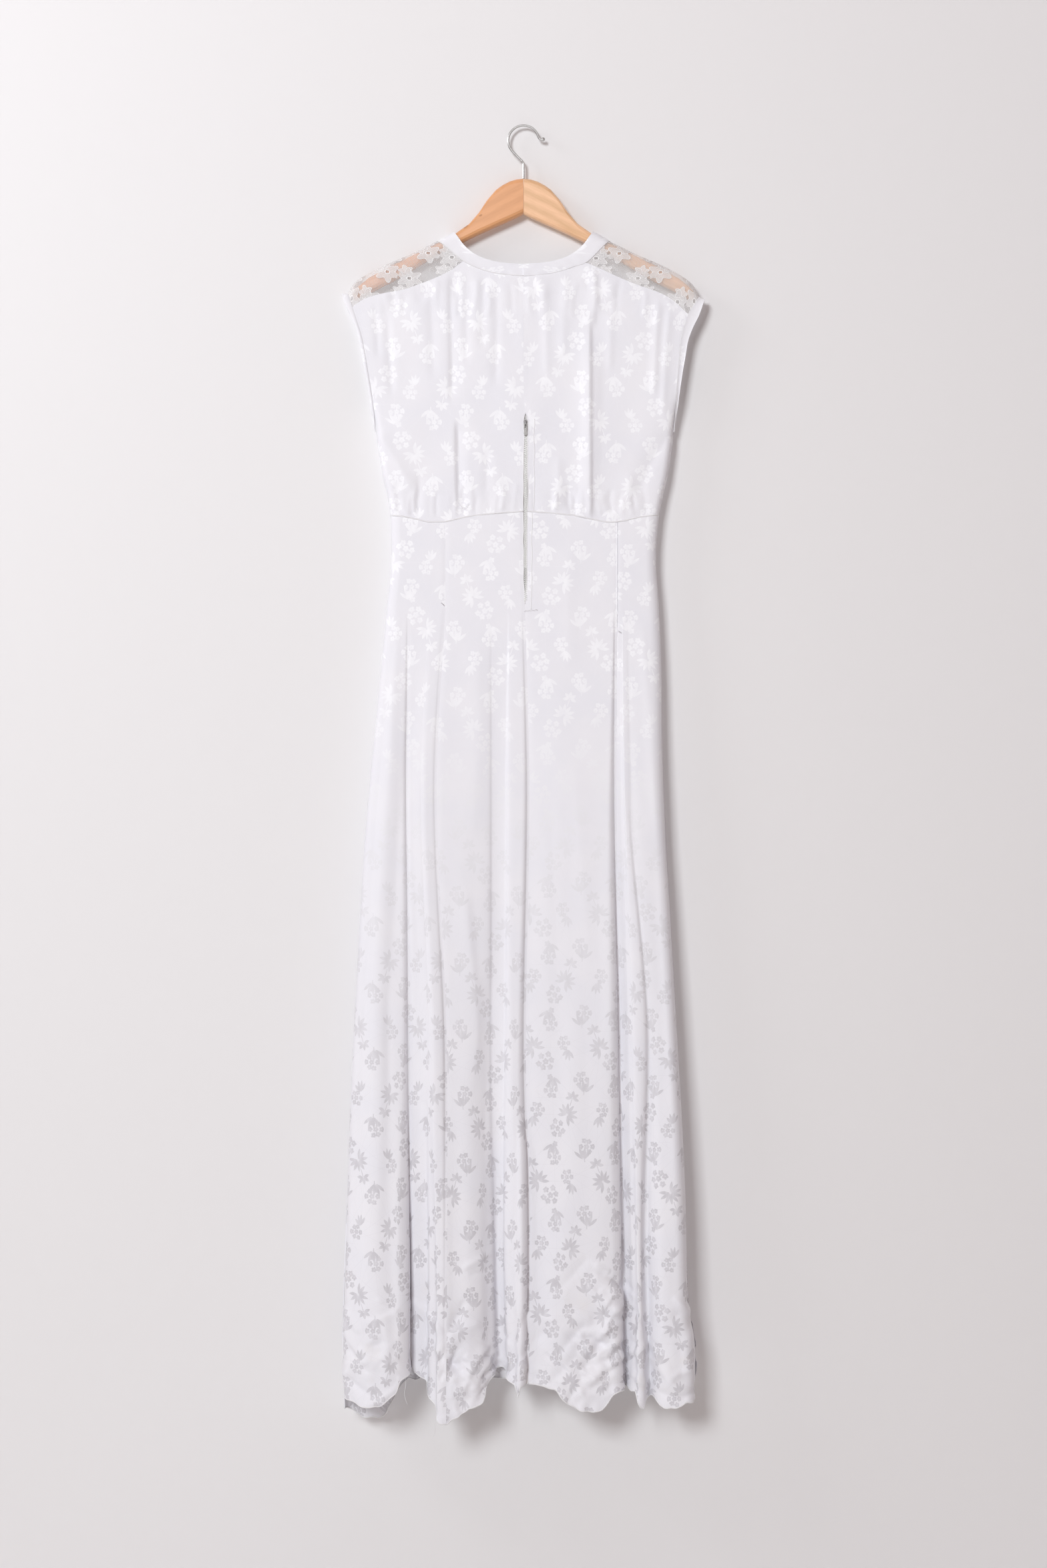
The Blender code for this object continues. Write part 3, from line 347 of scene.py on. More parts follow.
# %% Measures of the neck and armholes
# The shoulder from neck to tip: the lace's top line and the seam below it
SHOULDER_LEFT = (
    # top_x, top_z, seam_x, seam_z
    (109.3, -145.9, 74.8, -174.3),
    (124.0, -153.5, 98.0, -188.8),
    (140.6, -161.5, 121.0, -198.4),
    (171.7, -174.7, 155.0, -210.5),
    (200.6, -189.3, 188.0, -216.5),
    (215.4, -199.5, 206.0, -224.0),
    (223.5, -213.5, 216.7, -231.9),
)
SHOULDER_RIGHT = (
    (109.3, -146.2, 77.5, -176.0),
    (124.0, -153.6, 100.0, -184.5),
    (140.6, -161.6, 126.0, -196.5),
    (171.7, -175.2, 158.0, -208.6),
    (200.6, -190.2, 186.0, -220.0),
    (215.4, -202.0, 199.0, -232.0),
    (223.5, -217.5, 209.0, -241.0),
)

# The neckband's two edges from centre back to the neck point
NECKBAND_LOWER = ((0.0, -192.1), (22.0, -190.6), (41.0, -187.6), (59.0, -182.0))
NECKBAND_UPPER = (
    (0.0, -177.3), (24.0, -175.8), (47.0, -171.0), (62.0, -164.3),
    (74.0, -154.5), (81.5, -146.0), (88.9, -134.9),
)

# The armhole band's two edges from underarm to shoulder tip
ARMHOLE_INNER_LEFT = ((187.0, -389.5), (189.5, -362.0), (194.0, -332.0), (198.3, -306.0),
                      (204.0, -273.7), (210.8, -250.8))
ARMHOLE_OUTER_LEFT = ((189.5, -382.0), (193.0, -362.0), (197.5, -332.0), (202.3, -306.0),
                      (206.6, -282.2), (212.2, -257.6), (220.0, -240.0), (226.5, -227.0),
                      (231.0, -213.5))
ARMHOLE_INNER_RIGHT = ((190.0, -389.5), (192.0, -362.0), (194.5, -332.0), (196.5, -306.0),
                       (198.9, -278.0), (203.5, -257.0))
ARMHOLE_OUTER_RIGHT = ((192.6, -382.0), (195.5, -362.0), (199.5, -332.0), (203.2, -308.0),
                       (206.4, -289.9), (209.6, -272.0), (216.0, -256.0), (223.0, -242.0),
                       (231.0, -219.5))
ARMBAND_HEIGHT = 7.5 * MM
NECKBAND_FLAT_SHARE = 0.8
print("stations along each shoulder:", len(SHOULDER_LEFT))

# %% [markdown]
# The skirt's folds
#
# Below the hips the pleats open and the cloth falls in rolls, each standing a little in
# front of the next or behind it. A row of the table is one roll: the x of its left edge at
# five heights, and how far its left, middle and right stand out at the knee and at the
# hem. A cloth simulation would give folds too, but not these ones.

# %% The rolls of the skirt
ROLL_HEIGHTS = (HEM, CALF, KNEE, HIP, PLEATS_OPEN)
ROLL_COLUMNS = ("name", "x", "lift_knee", "lift_hem", "hem", "slit", "seam", "steps")
# x stands for the left edge at the hem, calf, knee, hip and where the pleats open, each lift for
# the left, middle and right, and hem for five heights across; steps are the columns inside
ROLL_TABLE = (
    ("side_left", None, (3, 11, 9), (6, 22, 20), (-1614, -1619, -1617, -1606, -1585), 0, None, 5),
    ("underlay_left", (-144, -146, -147, -150, -148), (2, 5, 9), (-16, -12, -8),
     (-1577, -1580, -1584, -1590, -1597), 0, None, 2),
    ("lap_left", (-120, -120, -120, -131, -122), (10, 13, 12), (14, 22, 23),
     (-1618, -1630, -1636, -1639, -1640), 0, None, 1),
    ("centre_left", (-101, -100, -101, -114, -103), (10, 9, 3), (23, 19, 2),
     (-1640, -1630, -1621, -1615, -1590), 0, "princess_left", 3),
    ("valley_centre", (-35, -39, -42, -42, -42), (0, -1, 0), (-14, -18, -12),
     (-1583, -1579, -1579, -1580, -1582), 0, None, 1),
    ("centre_pleat", (-20, -24, -22, -21, -19), (7, 8, 8), (10, 17, 16),
     (-1594, -1604, -1608, -1606, -1594), 0, None, 1),
    ("centre_right", (2, 3, -2, 3, -2), (2, 9, 11), (5, 17, 16),
     (-1593, -1597, -1621, -1626, -1602), 0, "centre_back", 6),
    ("valley_right", (125, 123, 119, 113, 115), (-4, -3, 1), (-12, -10, -2),
     (-1599, -1600, -1601, -1602, -1602), 0, "princess_right", 1),
    ("lap_right", (138, 136, 133, 125, 124), (5, 9, 8), (4, 13, 0),
     (-1603, -1618, -1624, -1623, -1612), 0, None, 2),
    ("side_right", (160, 155, 158, 134, 131), (6, 8, 8), (-3, 17, 15),
     (-1610, -1619, -1622, -1619, -1615), 7, None, 4),
)
ROLLS = [dict(zip(ROLL_COLUMNS, row)) for row in ROLL_TABLE]
HEM_PLACES = (0.0, 0.25, 0.5, 0.75, 1.0)
HIP_SHARE = 0.45
SIDE_TURN = 12.0 * MM
SIDE_PLACES = (0.0, 0.3, 0.7)
SLIT_HALF = 4.0 * MM
EDGE_HALF = 1.0 * MM
FOLD_RADIUS = 9.0 * MM
FOLD_FOOT = 4.0 * MM
TUCK_SHARE = 0.35
TUCK_MAX = 4.0 * MM
SEAM_FROM_EDGE = 3.0 * MM
SKIRT_ROWS = np.linspace(0, 1, 121)
print("rolls:", [roll["name"] for roll in ROLLS], "rows:", len(SKIRT_ROWS))


# %% Silhouette, waist and zip opening
def outline_x(z, side):
    """The silhouette's x at a height; side is -1 for left, 1 for right."""
    table = np.array(OUTLINE) * MM
    return smooth(z, table[:, 0], table[:, 1 if side < 0 else 2])


def waist_z(x):
    """The waist seam's height at a distance from the centre."""
    table = np.array(WAIST) * MM
    return smooth(np.abs(x), table[:, 0], table[:, 1])


def zip_half(z):
    """Half the width of the gap at the centre back.

    It is a hair's breadth where the seam is sewn, opens below the zip's top and closes
    softly at its end. Between them it gapes by a bell curve round its widest height.
    """
    opened = ramp(z, ZIP_TOP, ZIP_TOP - ZIP_OPENING) * ease(z, ZIP_END, ZIP_END + ZIP_CLOSING)
    gaping = ZIP_EVEN + ZIP_EXTRA * np.exp(-(((z - ZIP_WIDEST) / ZIP_BULGE) ** 2))
    return SEAM_GAP / 2 + (ZIP_HALF_OPENING - SEAM_GAP / 2) * opened * gaping


print("opening of the zip, half:", round(float(zip_half(-0.45)) / MM, 1), "mm")


# %% One roll after another
def roll_lift(roll, place, z):
    """Lift of a roll's left, middle or right (0, 1, 2) at heights z, in metres."""
    hem, knee = roll["lift_hem"][place], roll["lift_knee"][place]
    levels = (hem, (hem + knee) / 2, knee, knee * HIP_SHARE, 0.0)
    return smooth(z, ROLL_HEIGHTS, np.array(levels) * MM)


def roll_left(roll, z):
    """The x of a roll's left edge at heights z."""
    if roll["x"] is None:
        return outline_x(z, -1) + SIDE_TURN
    return smooth(z, ROLL_HEIGHTS, np.array(roll["x"]) * MM)


def fold_edge(z, x, left, right, slit):
    """Three points across a fold edge: where the left roll ends, the nose, where the right begins.

    left and right are the lifts on the two sides. The roll that stands lower is
    tucked under the one that stands higher, and a slit goes deeper than both.
    """
    step = left - right
    radius = np.minimum(np.abs(step) / 2, FOLD_RADIUS)
    foot = np.minimum(radius, FOLD_FOOT)
    tuck = np.minimum(TUCK_SHARE * np.abs(step), TUCK_MAX)
    over = step > 0
    first_x = np.where(over, x - radius, x + tuck - foot) - EDGE_HALF
    last_x = np.where(over, x - tuck + foot, x + radius) + EDGE_HALF
    nose = np.where(over, left - radius, right - radius) - slit
    if np.ndim(slit) or slit:
        half = EDGE_HALF + (SLIT_HALF - EDGE_HALF) * ramp(z, PLEATS_OPEN, KNEE)
        first_x = x - half
        last_x = x + half
    return [(first_x, left), (x, nose), (last_x, right)]


def skirt_columns():
    """Names of the skirt's columns left to right, as (kind, roll number, place)."""
    columns = [("turn_left", 0, t) for t in SIDE_PLACES]
    for number, roll in enumerate(ROLLS):
        if number:
            columns += [("edge", number, k) for k in range(3)]
        if roll["seam"]:
            columns.append(("seam", number, 0))
        parts = roll["steps"] + 1
        first = 0 if number == 0 else 1
        end = parts + 1 if number == len(ROLLS) - 1 else parts
        columns += [("inside", number, k / parts) for k in range(first, end)]
    return columns + [("turn_right", len(ROLLS) - 1, t) for t in SIDE_PLACES[::-1]]


def skirt_point(column, z, fold_share=1.0):
    """The x and lift of one column at heights z."""
    kind, number, place = column
    roll = ROLLS[number]
    if kind in ("turn_left", "turn_right"):
        side = -1 if kind == "turn_left" else 1
        inward = SIDE_TURN * (1 - math.cos(math.radians(90 * place)))
        return outline_x(z, side) - side * inward, fold_share * roll_lift(roll, 1 + side, z)
    left_x = roll_left(roll, z)
    if number + 1 < len(ROLLS):
        right_x = roll_left(ROLLS[number + 1], z)
    else:
        right_x = outline_x(z, 1) - SIDE_TURN
    low, middle, high = (fold_share * roll_lift(roll, k, z) for k in range(3))
    if number:
        before = fold_share * roll_lift(ROLLS[number - 1], 2, z)
        slit = fold_share * roll["slit"] * MM * ramp(z, HIP, HEM)
        edge = fold_edge(z, left_x, before, low, slit if roll["slit"] else 0.0)
        start_x = edge[2][0]
    else:
        start_x = left_x
    if kind == "edge":
        return edge[place]
    if kind == "seam":
        return start_x + SEAM_FROM_EDGE, low
    if roll["seam"]:
        start_x = start_x + SEAM_FROM_EDGE
    end_x = right_x - (EDGE_HALF + FOLD_FOOT if number + 1 < len(ROLLS) else 0)
    ends = low if place < 0.5 else high
    lift = ends + (middle - ends) * math.sin(math.pi * place)
    return start_x + (end_x - start_x) * place, lift


print("columns across the skirt:", len(skirt_columns()))


# %% The back and front of the skirt as grids of points
def hem_z(column):
    """The hem's height at a column of the back."""
    kind, number, place = column
    hem = np.array([roll["hem"] for roll in ROLLS]) * MM
    if kind == "turn_left" or kind == "seam":
        return hem[number, 0]
    if kind == "turn_right":
        return hem[number, -1]
    if kind == "edge":
        return (hem[number - 1, -1] * (2 - place) + hem[number, 0] * place) / 2
    return smooth(place, HEM_PLACES, hem[number])


def layer_depth(z, lift, hem_depth, share):
    """How far a layer's middle surface stands from the seam plane.

    Its depth grows from the bodice's to the hem's, the fold's lift is added, and the share
    brings both down to nothing at the side seam.
    """
    depth = BODICE_DEPTH + (hem_depth - BODICE_DEPTH) * ease(z, PLEATS_OPEN, HEM)
    return SEAM_GAP / 2 + (depth + lift - SEAM_GAP / 2) * share


def turned_share(column):
    """1 on the flat of the layer, falling to 0 at the side seam."""
    kind, _, place = column
    if kind in ("turn_left", "turn_right"):
        return math.sin(math.radians(90 * place))
    return 1.0


def back_skirt_grid(columns):
    """The middle surface of some of the skirt's back columns."""
    grid = np.zeros((len(SKIRT_ROWS), len(columns), 3))
    last = len(columns) - 1
    for c, column in enumerate(columns):
        top_x, _ = skirt_point(column, np.array([PLEATS_OPEN]))
        top = waist_z(top_x[0]) - WAIST_HALF_GAP
        z = top + (hem_z(column) - top) * SKIRT_ROWS
        x, lift = skirt_point(column, z)
        depth = layer_depth(z, lift, HEM_DEPTH_BACK, turned_share(column))
        gap = SEAM_GAP / 2 * np.ones_like(z)
        name = ROLLS[column[1]]["seam"]
        if name == "centre_back" and column[0] in ("edge", "seam"):
            gap = zip_half(z)
        if c == 0 and column[0] == "seam":
            x = x + gap
        elif column[0] == "seam" or (column[0] == "edge" and name == "centre_back" and c >= last - 3):
            x = x - gap
        grid[:, c] = np.stack([x, -depth, z], axis=1)
    return grid


def front_hem(x):
    """The front layer's hem: it sags below the back's at the left, less at the corner."""
    sag = FRONT_HEM_LEFT_DROP * ease(x, *FRONT_HEM_LEFT_X)
    return FRONT_HEM - sag + FRONT_HEM_CORNER_RISE * ease(x, *FRONT_HEM_CORNER_X)


def front_skirt_grid():
    """The hidden front: the back's folds in mirror image, shallower, in one piece."""
    keep = [c for c in skirt_columns() if c[0] != "seam" and c[:1] + c[2:] != ("edge", 1)]
    rows = SKIRT_ROWS[::2]
    grid = np.zeros((len(rows), len(keep), 3))
    for c, column in enumerate(keep):
        ends = np.array([waist_z(0.0), HEM])
        x_top, x_hem = outline_x(ends, -1) + outline_x(ends, 1) - skirt_point(column, ends)[0]
        top = waist_z(x_top) - WAIST_HALF_GAP
        z = top + (front_hem(x_hem) - top) * rows
        x, lift = skirt_point(column, z, FRONT_FOLD_SHARE)
        depth = layer_depth(z, lift, HEM_DEPTH_FRONT, turned_share(column))
        grid[:, c] = np.stack([outline_x(z, -1) + outline_x(z, 1) - x, depth, z], axis=1)
    return grid


def split_at_seams(columns):
    """The skirt's columns cut at the sewn seams; both neighbours keep the seam's column."""
    groups = [[]]
    for column in columns:
        groups[-1].append(column)
        if column[0] == "seam":
            groups.append([column])
    return groups


print("skirt panels:", len(split_at_seams(skirt_columns())))

# %% [markdown]
# The bodice, the lace and the bands
#
# The bodice is flat on the hanger, so it can be drawn in the plane as a patch between four
# edges: the neck and lace seam above, the waist below, the centre and the armhole with the
# side seam. Bending that patch round to the side seam gives it its depth. The lace and the
# bands run from the back over the shoulder to the front, so each is a row of arches.

# %% Points along the seams
NECK_COLUMNS = (0, 0.2, 0.4, 0.6, 0.8, 1)
YOKE_COLUMNS = (0.13, 0.27, 0.41, 0.56, 0.71, 0.86, 0.93, 0.975, 1)
ARMHOLE_ROWS = (0, 0.12, 0.25, 0.38, 0.52, 0.66, 0.83, 1)
SIDE_HEIGHTS = (-400.0 * MM, -420.0 * MM, -445.0 * MM, -470.0 * MM)
CENTRE_ROWS = (-212.0 * MM, -236.0 * MM, -262.0 * MM, -290.0 * MM, -316.0 * MM, -342.0 * MM,
               ZIP_TOP, ZIP_TOP - ZIP_OPENING, -400.0 * MM, -430.0 * MM, -462.0 * MM)
# Each pressed fold: x, top, bottom and height in mm; it rises and fades over the two lengths
BODICE_FOLDS = (
    (84.5, -258, -505, 1.6),
    (-82.0, -395, -505, 1.2),
)
BODICE_FOLD_WIDTH = 9.0 * MM
FOLD_RISE, FOLD_FADE = 40, 50
NECK_CURVE = 1.5
DOME_STEPS = 4
SIDE_AT_WAIST = 170.0 * MM


def shoulder_table(side):
    """The shoulder's stations as x, z of the top line and of the lower seam, in metres."""
    table = np.array(SHOULDER_LEFT if side < 0 else SHOULDER_RIGHT) * MM
    return table * np.array([side, 1, side, 1])


def plane_path(table, side):
    """A table of distances and heights as points in the plane, in metres."""
    return np.array(table) * MM * np.array([side, 1])


def lowered_front(path, drop):
    """The front neckline: the same path, lower towards the centre."""
    share = 1 - ramp(np.abs(path[:, 0]), 0.0, NECK_HALF_WIDTH) ** NECK_CURVE
    return path - np.stack([np.zeros(len(path)), drop * share], axis=1)


def neck_seam(side, front):
    """Where the neckband meets the bodice: points from the centre to the lace."""
    corner = shoulder_table(side)[0, 2:]
    path = np.concatenate([plane_path(NECKBAND_LOWER, side), [corner]])
    if front:
        path = lowered_front(path, NECK_FRONT_DROP)
    return along(path, NECK_COLUMNS)


def lace_seam(side):
    """Where the lace meets the bodice: points from the neckband to the armhole."""
    return along(shoulder_table(side)[:, 2:], YOKE_COLUMNS)


def lace_top(side):
    """The shoulder line above each point of the lace seam, and above its start."""
    return along(shoulder_table(side)[:, :2], (0, *YOKE_COLUMNS))


def armhole_edge(side):
    """The bodice's armhole edge, from the lace down to the underarm."""
    table = ARMHOLE_INNER_LEFT if side < 0 else ARMHOLE_INNER_RIGHT
    corner = shoulder_table(side)[-1, 2:]
    path = np.concatenate([[corner], plane_path(table, side)[::-1]])
    return along(path, ARMHOLE_ROWS)


print("the armhole, from lace to underarm:", armhole_edge(1)[[0, -1]].round(3).tolist())


# %% Arches over the shoulder
def over_shoulder(back, front, top, radius, flank=None):
    """A line up the back, over the shoulder and down the front.

    back and front are points in the plane that end below the shoulder's top; the
    last stretch to the top rises as a quarter turn with the given radius. flank
    gives the distance from the seam plane at heights z before that turn.
    """
    halves = []
    for sign, points in ((-1, back), (1, front)):
        way = top - points[-1]
        length = np.linalg.norm(way)
        angle = np.linspace(0, math.pi / 2, DOME_STEPS + 1)
        rise = length - radius + radius * np.sin(angle)
        dome = points[-1] + way / length * rise[:, None]
        depth = np.concatenate([np.full(len(points), radius), radius * np.cos(angle)])
        if flank is not None:
            depth[: len(points)] = flank(points[:, 1])
        plane = np.concatenate([points, dome])
        halves.append(np.stack([plane[:, 0], sign * depth, plane[:, 1]], axis=1))
    return np.concatenate([halves[0], halves[1][-2::-1]])


def between(first, second, shares):
    """A grid of rows from one 3D line to another."""
    shares = np.asarray(shares)[None, :, None]
    return first[:, None] * (1 - shares) + second[:, None] * shares


def neckband_grid(side):
    """The band round half the neck, from centre back over the shoulder to centre front."""
    radius = BODICE_DEPTH + BAND_EXTRA_DEPTH
    lower_top = shoulder_table(side)[0, :2]
    upper = plane_path(NECKBAND_UPPER, side)
    upper_top = upper[-1]
    upper_back = along(upper, np.linspace(0, NECKBAND_FLAT_SHARE, len(NECK_COLUMNS)))
    upper_front = along(lowered_front(upper, NECK_FRONT_DROP),
                        np.linspace(0, NECKBAND_FLAT_SHARE, len(NECK_COLUMNS)))
    lines = []
    for back, front, top in (
        (neck_seam(side, False), neck_seam(side, True), lower_top),
        (upper_back, upper_front, upper_top),
    ):
        ends = [points.copy() for points in (back, front)]
        for points in ends:
            points[0, 0] = side * SEAM_GAP / 2
        lines.append(over_shoulder(*ends, top, radius))
    return between(lines[0], lines[1], (0, 0.5, 1))


def yoke_grid(side):
    """The lace from the bodice's back seam over the hanger to its front seam."""
    seam = np.concatenate([neck_seam(side, False)[-1:], lace_seam(side)])
    top = lace_top(side)
    shift = np.zeros(len(seam))
    shift[0] = side * SEAM_GAP
    shift[-1] = -side * SEAM_GAP
    rows = []
    for k in range(len(seam)):
        low = seam[k] + (shift[k], 0)
        high = top[k] + (shift[k], 0)
        rows.append(over_shoulder(low[None], low[None], high, BODICE_DEPTH))
    return np.array(rows)


def armhole_flank(z):
    """Distance of the armhole's edge from the seam plane: none at the underarm."""
    return SEAM_GAP / 2 + (BODICE_DEPTH - SEAM_GAP / 2) * np.sin(
        math.pi / 2 * ramp(z, UNDERARM, UNDERARM + ARMHOLE_TURN)
    )


def armband_grid(side):
    """The band round an armhole, from the underarm over the shoulder tip and back."""
    inner = armhole_edge(side)[::-1] + (0, ARMBAND_SHIFT)
    turned = 1 - ramp(inner[:, 1], UNDERARM, UNDERARM + ARMHOLE_TURN)
    inner[:, 0] += side * (ARMBAND_SHIFT + UNDERARM_SHIFT * turned)
    outer_path = plane_path(ARMHOLE_OUTER_LEFT if side < 0 else ARMHOLE_OUTER_RIGHT, side)
    outer_top = outer_path[-1]
    outer = along(outer_path[:-1], 1 - np.array(ARMHOLE_ROWS[::-1]))
    inner_top = shoulder_table(side)[-1, :2] + (side * SEAM_GAP, 0)
    lines = []
    for points, top, above in ((inner, inner_top, ARMBAND_SHIFT), (outer, outer_top, ARMBAND_HEIGHT)):
        def flank(z, above=above):
            return armhole_flank(z - above)
        lines.append(over_shoulder(points, points, top, BODICE_DEPTH, flank))
    return between(lines[0], lines[1], (0, 0.5, 1))


print("neckband grid:", neckband_grid(1).shape)


# %% Bodice as a patch between its edges
def bodice_plane(side, front):
    """The bodice half in the plane, blended from its four edges."""
    top = np.concatenate([neck_seam(side, front), lace_seam(side)]) - (0, SEAM_GAP)
    u = path_length(top) / path_length(top)[-1]
    bottom_z = waist_z(outline_x(waist_z(side * SIDE_AT_WAIST), side)) + WAIST_HALF_GAP
    heights = np.array([*SIDE_HEIGHTS, bottom_z])
    side_seam = np.stack([outline_x(heights, side), heights], axis=1)
    edge = np.concatenate([top[-1:], armhole_edge(side)[1:], side_seam])
    centre_z = np.array([top[0, 1], *CENTRE_ROWS, waist_z(0.0) + WAIST_HALF_GAP])
    if front:
        centre_z[1:4] = top[0, 1] + (centre_z[4] - top[0, 1]) * np.array([0.25, 0.5, 0.75])
        centre_x = np.zeros(len(centre_z))
    else:
        centre_x = centre_line(centre_z) + side * zip_half(centre_z)
    centre = np.stack([centre_x, centre_z], axis=1)
    v = np.linspace(0, 1, len(edge))
    bottom_x = centre_x[-1] + (edge[-1, 0] - centre_x[-1]) * u
    bottom = np.stack([bottom_x, waist_z(bottom_x) + WAIST_HALF_GAP], axis=1)
    top[0, 0] = centre_x[0]
    out, down = u[None, :, None], v[:, None, None]
    return (
        (1 - down) * top[None] + down * bottom[None]
        + (1 - out) * centre[:, None] + out * edge[:, None]
        - (1 - down) * (1 - out) * top[0] - (1 - down) * out * top[-1]
        - down * (1 - out) * bottom[0] - down * out * bottom[-1]
    )


def centre_line(z):
    """The x of the centre-back seam: it drifts to the zip's line."""
    return ZIP_CENTRE * ease(z, ZIP_DRIFT_TOP, ZIP_TOP)


def bodice_depth(plane):
    """Distance from the seam plane: round to the side seam below the underarm."""
    x, z = plane[..., 0], plane[..., 1]
    edge = np.broadcast_to(plane[:, -1:, 0], x.shape)
    inward = np.clip(np.abs(edge - x) / BODICE_DEPTH, 0, 1)
    rounded = np.sqrt(1 - (1 - inward) ** 2)
    open_share = (armhole_flank(z) - SEAM_GAP / 2) / (BODICE_DEPTH - SEAM_GAP / 2)
    share = open_share + (1 - open_share) * rounded
    return SEAM_GAP / 2 + (BODICE_DEPTH - SEAM_GAP / 2) * share


def bodice_folds(plane):
    """The pressed folds, each a soft ridge that rises from its top downwards."""
    x, z = plane[..., 0], plane[..., 1]
    lift = np.zeros_like(x)
    for fold_x, top, bottom, height in BODICE_FOLDS:
        across = np.exp(-(((x - fold_x * MM) / BODICE_FOLD_WIDTH) ** 2))
        down = ease(z, top * MM, (top - FOLD_RISE) * MM)
        down = down * (1 - ease(z, (bottom + FOLD_FADE) * MM, bottom * MM))
        lift += height * MM * across * down
    return lift


def back_bodice_grid(side):
    """One half of the bodice's back."""
    plane = bodice_plane(side, False)
    depth = bodice_depth(plane) + bodice_folds(plane)
    return np.stack([plane[..., 0], -depth, plane[..., 1]], axis=-1)


def front_bodice_grid():
    """The bodice's front, both halves in one piece."""
    halves = []
    for side in (-1, 1):
        plane = bodice_plane(side, True)
        depth = bodice_depth(plane)
        halves.append(np.stack([plane[..., 0], depth, plane[..., 1]], axis=-1))
    left, right = halves
    return np.concatenate([left[:, ::-1], right[:, 1:]], axis=1)


print("bodice grid:", back_bodice_grid(1).shape)

# %% [markdown]
# From a grid of points to a piece of cloth
#
# A shell is a grid of points joined into squares, given a thin wall by the Solidify
# modifier. It also carries a flat map in metres, the way the cloth lay before it was sewn,
# so that the woven flowers follow each fold instead of sliding over it. Fold edges pull
# squares together, which a map made from plain x and z would show as squashed flowers.

# %% Shells
SHELL_WALL = 0.9 * MM
FINE_STEP = 3.0 * MM
# A direction that no tube runs along: nearly straight away from the viewer
TUBE_SIDE = (0.02, 1.0, 0.01)


def flat_map(grid, grain=0.5, upside_down=False, shift=(0, 0)):
    """Where each point lay on the cut cloth, in metres; the shift of the flowers is in mm.

    Across is the distance along the row from the grain line, a share of the row's points.
    Up is the point's own height, since the cloth hangs nearly straight down.
    """
    across = path_length(grid, 1)
    middle = int(grain * (grid.shape[1] - 1))
    across -= across[:, middle:middle + 1]
    way = -1 if upside_down else 1
    return np.stack([way * across + shift[0] * MM, way * grid[..., 2] + shift[1] * MM], axis=-1)


def facing_out(grid, layout):
    """A grid and its map, turned so that its faces look away from the plane y = 0."""
    if (normals(grid)[..., 1] * grid[..., 1]).mean() < 0:
        return grid[:, ::-1], layout[:, ::-1]
    return grid, layout


def grid_object(name, grid, layout, material, wall):
    """A mesh object from a grid: one square between each four neighbours, and a wall."""
    grid, layout = facing_out(grid, layout)
    rows, columns = grid.shape[:2]
    index = np.arange(rows * columns).reshape(rows, columns)
    squares = np.stack(
        [index[:-1, :-1], index[1:, :-1], index[1:, 1:], index[:-1, 1:]], axis=-1
    ).reshape(-1, 4)
    thing = new_object(name, grid.reshape(-1, 3), squares, material)
    mesh = thing.data
    corners = layout.reshape(-1, 2)[squares.reshape(-1)]
    mesh.uv_layers.new(name="cloth").data.foreach_set("uv", corners.ravel())
    mesh.shade_smooth()
    ends = np.empty(2 * len(mesh.edges), int)
    mesh.edges.foreach_get("vertices", ends)
    place = np.stack(np.divmod(ends.reshape(-1, 2), columns), axis=-1)
    rim = (place == 0) | (place == (rows - 1, columns - 1))
    sharp = mesh.attributes.new("sharp_edge", "BOOLEAN", "EDGE")
    sharp.data.foreach_set("value", rim.all(axis=1).any(axis=1))
    solid = thing.modifiers.new("wall", "SOLIDIFY")
    solid.thickness = wall
    solid.offset = 0.0
    return thing


def tube_object(name, paths, radius, sides=6):
    """One mesh of thin round tubes that rides with the dress, each along its own path.

    A ring round a point of the path is that point plus the radius times the cosine and the
    sine of the angle, along two directions square to the path.
    """
    points, faces = [], []
    angle = np.arange(sides)[None, :, None] * math.tau / sides
    for path in paths:
        path = np.asarray(path, float)
        way = np.gradient(path, axis=0)
        across = np.cross(way, TUBE_SIDE)
        across /= np.linalg.norm(across, axis=1, keepdims=True)
        other = np.cross(across, way)
        other /= np.linalg.norm(other, axis=1, keepdims=True)
        first = sum(len(part) for part in points)
        rings = path[:, None] + radius * (np.cos(angle) * across[:, None] + np.sin(angle) * other[:, None])
        points.append(rings.reshape(-1, 3))
        index = first + np.arange(len(path) * sides).reshape(len(path), sides)
        beside = np.roll(index, -1, axis=1)
        walls = np.stack([index[:-1], index[1:], beside[1:], beside[:-1]], axis=-1)
        faces += walls.reshape(-1, 4).tolist() + [index[0].tolist(), index[-1, ::-1].tolist()]
    thing = new_object(name, np.concatenate(points), faces, binding)
    thing.data.uv_layers.new(name="cloth")
    thing.data.shade_smooth()
    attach(thing, DRESS)
    return thing


def grid_area(grid):
    """The area of a grid's squares, each half the length of its diagonals' cross product."""
    first = grid[1:, 1:] - grid[:-1, :-1]
    second = grid[1:, :-1] - grid[:-1, 1:]
    return float(np.linalg.norm(np.cross(first, second), axis=-1).sum() / 2)


def cut_size(grid):
    """The widest row and the longest column of a grid, measured along the cloth."""
    width = np.linalg.norm(np.diff(grid, axis=1), axis=-1).sum(axis=1).max()
    length = np.linalg.norm(np.diff(grid, axis=0), axis=-1).sum(axis=0).max()
    return float(width), float(length)


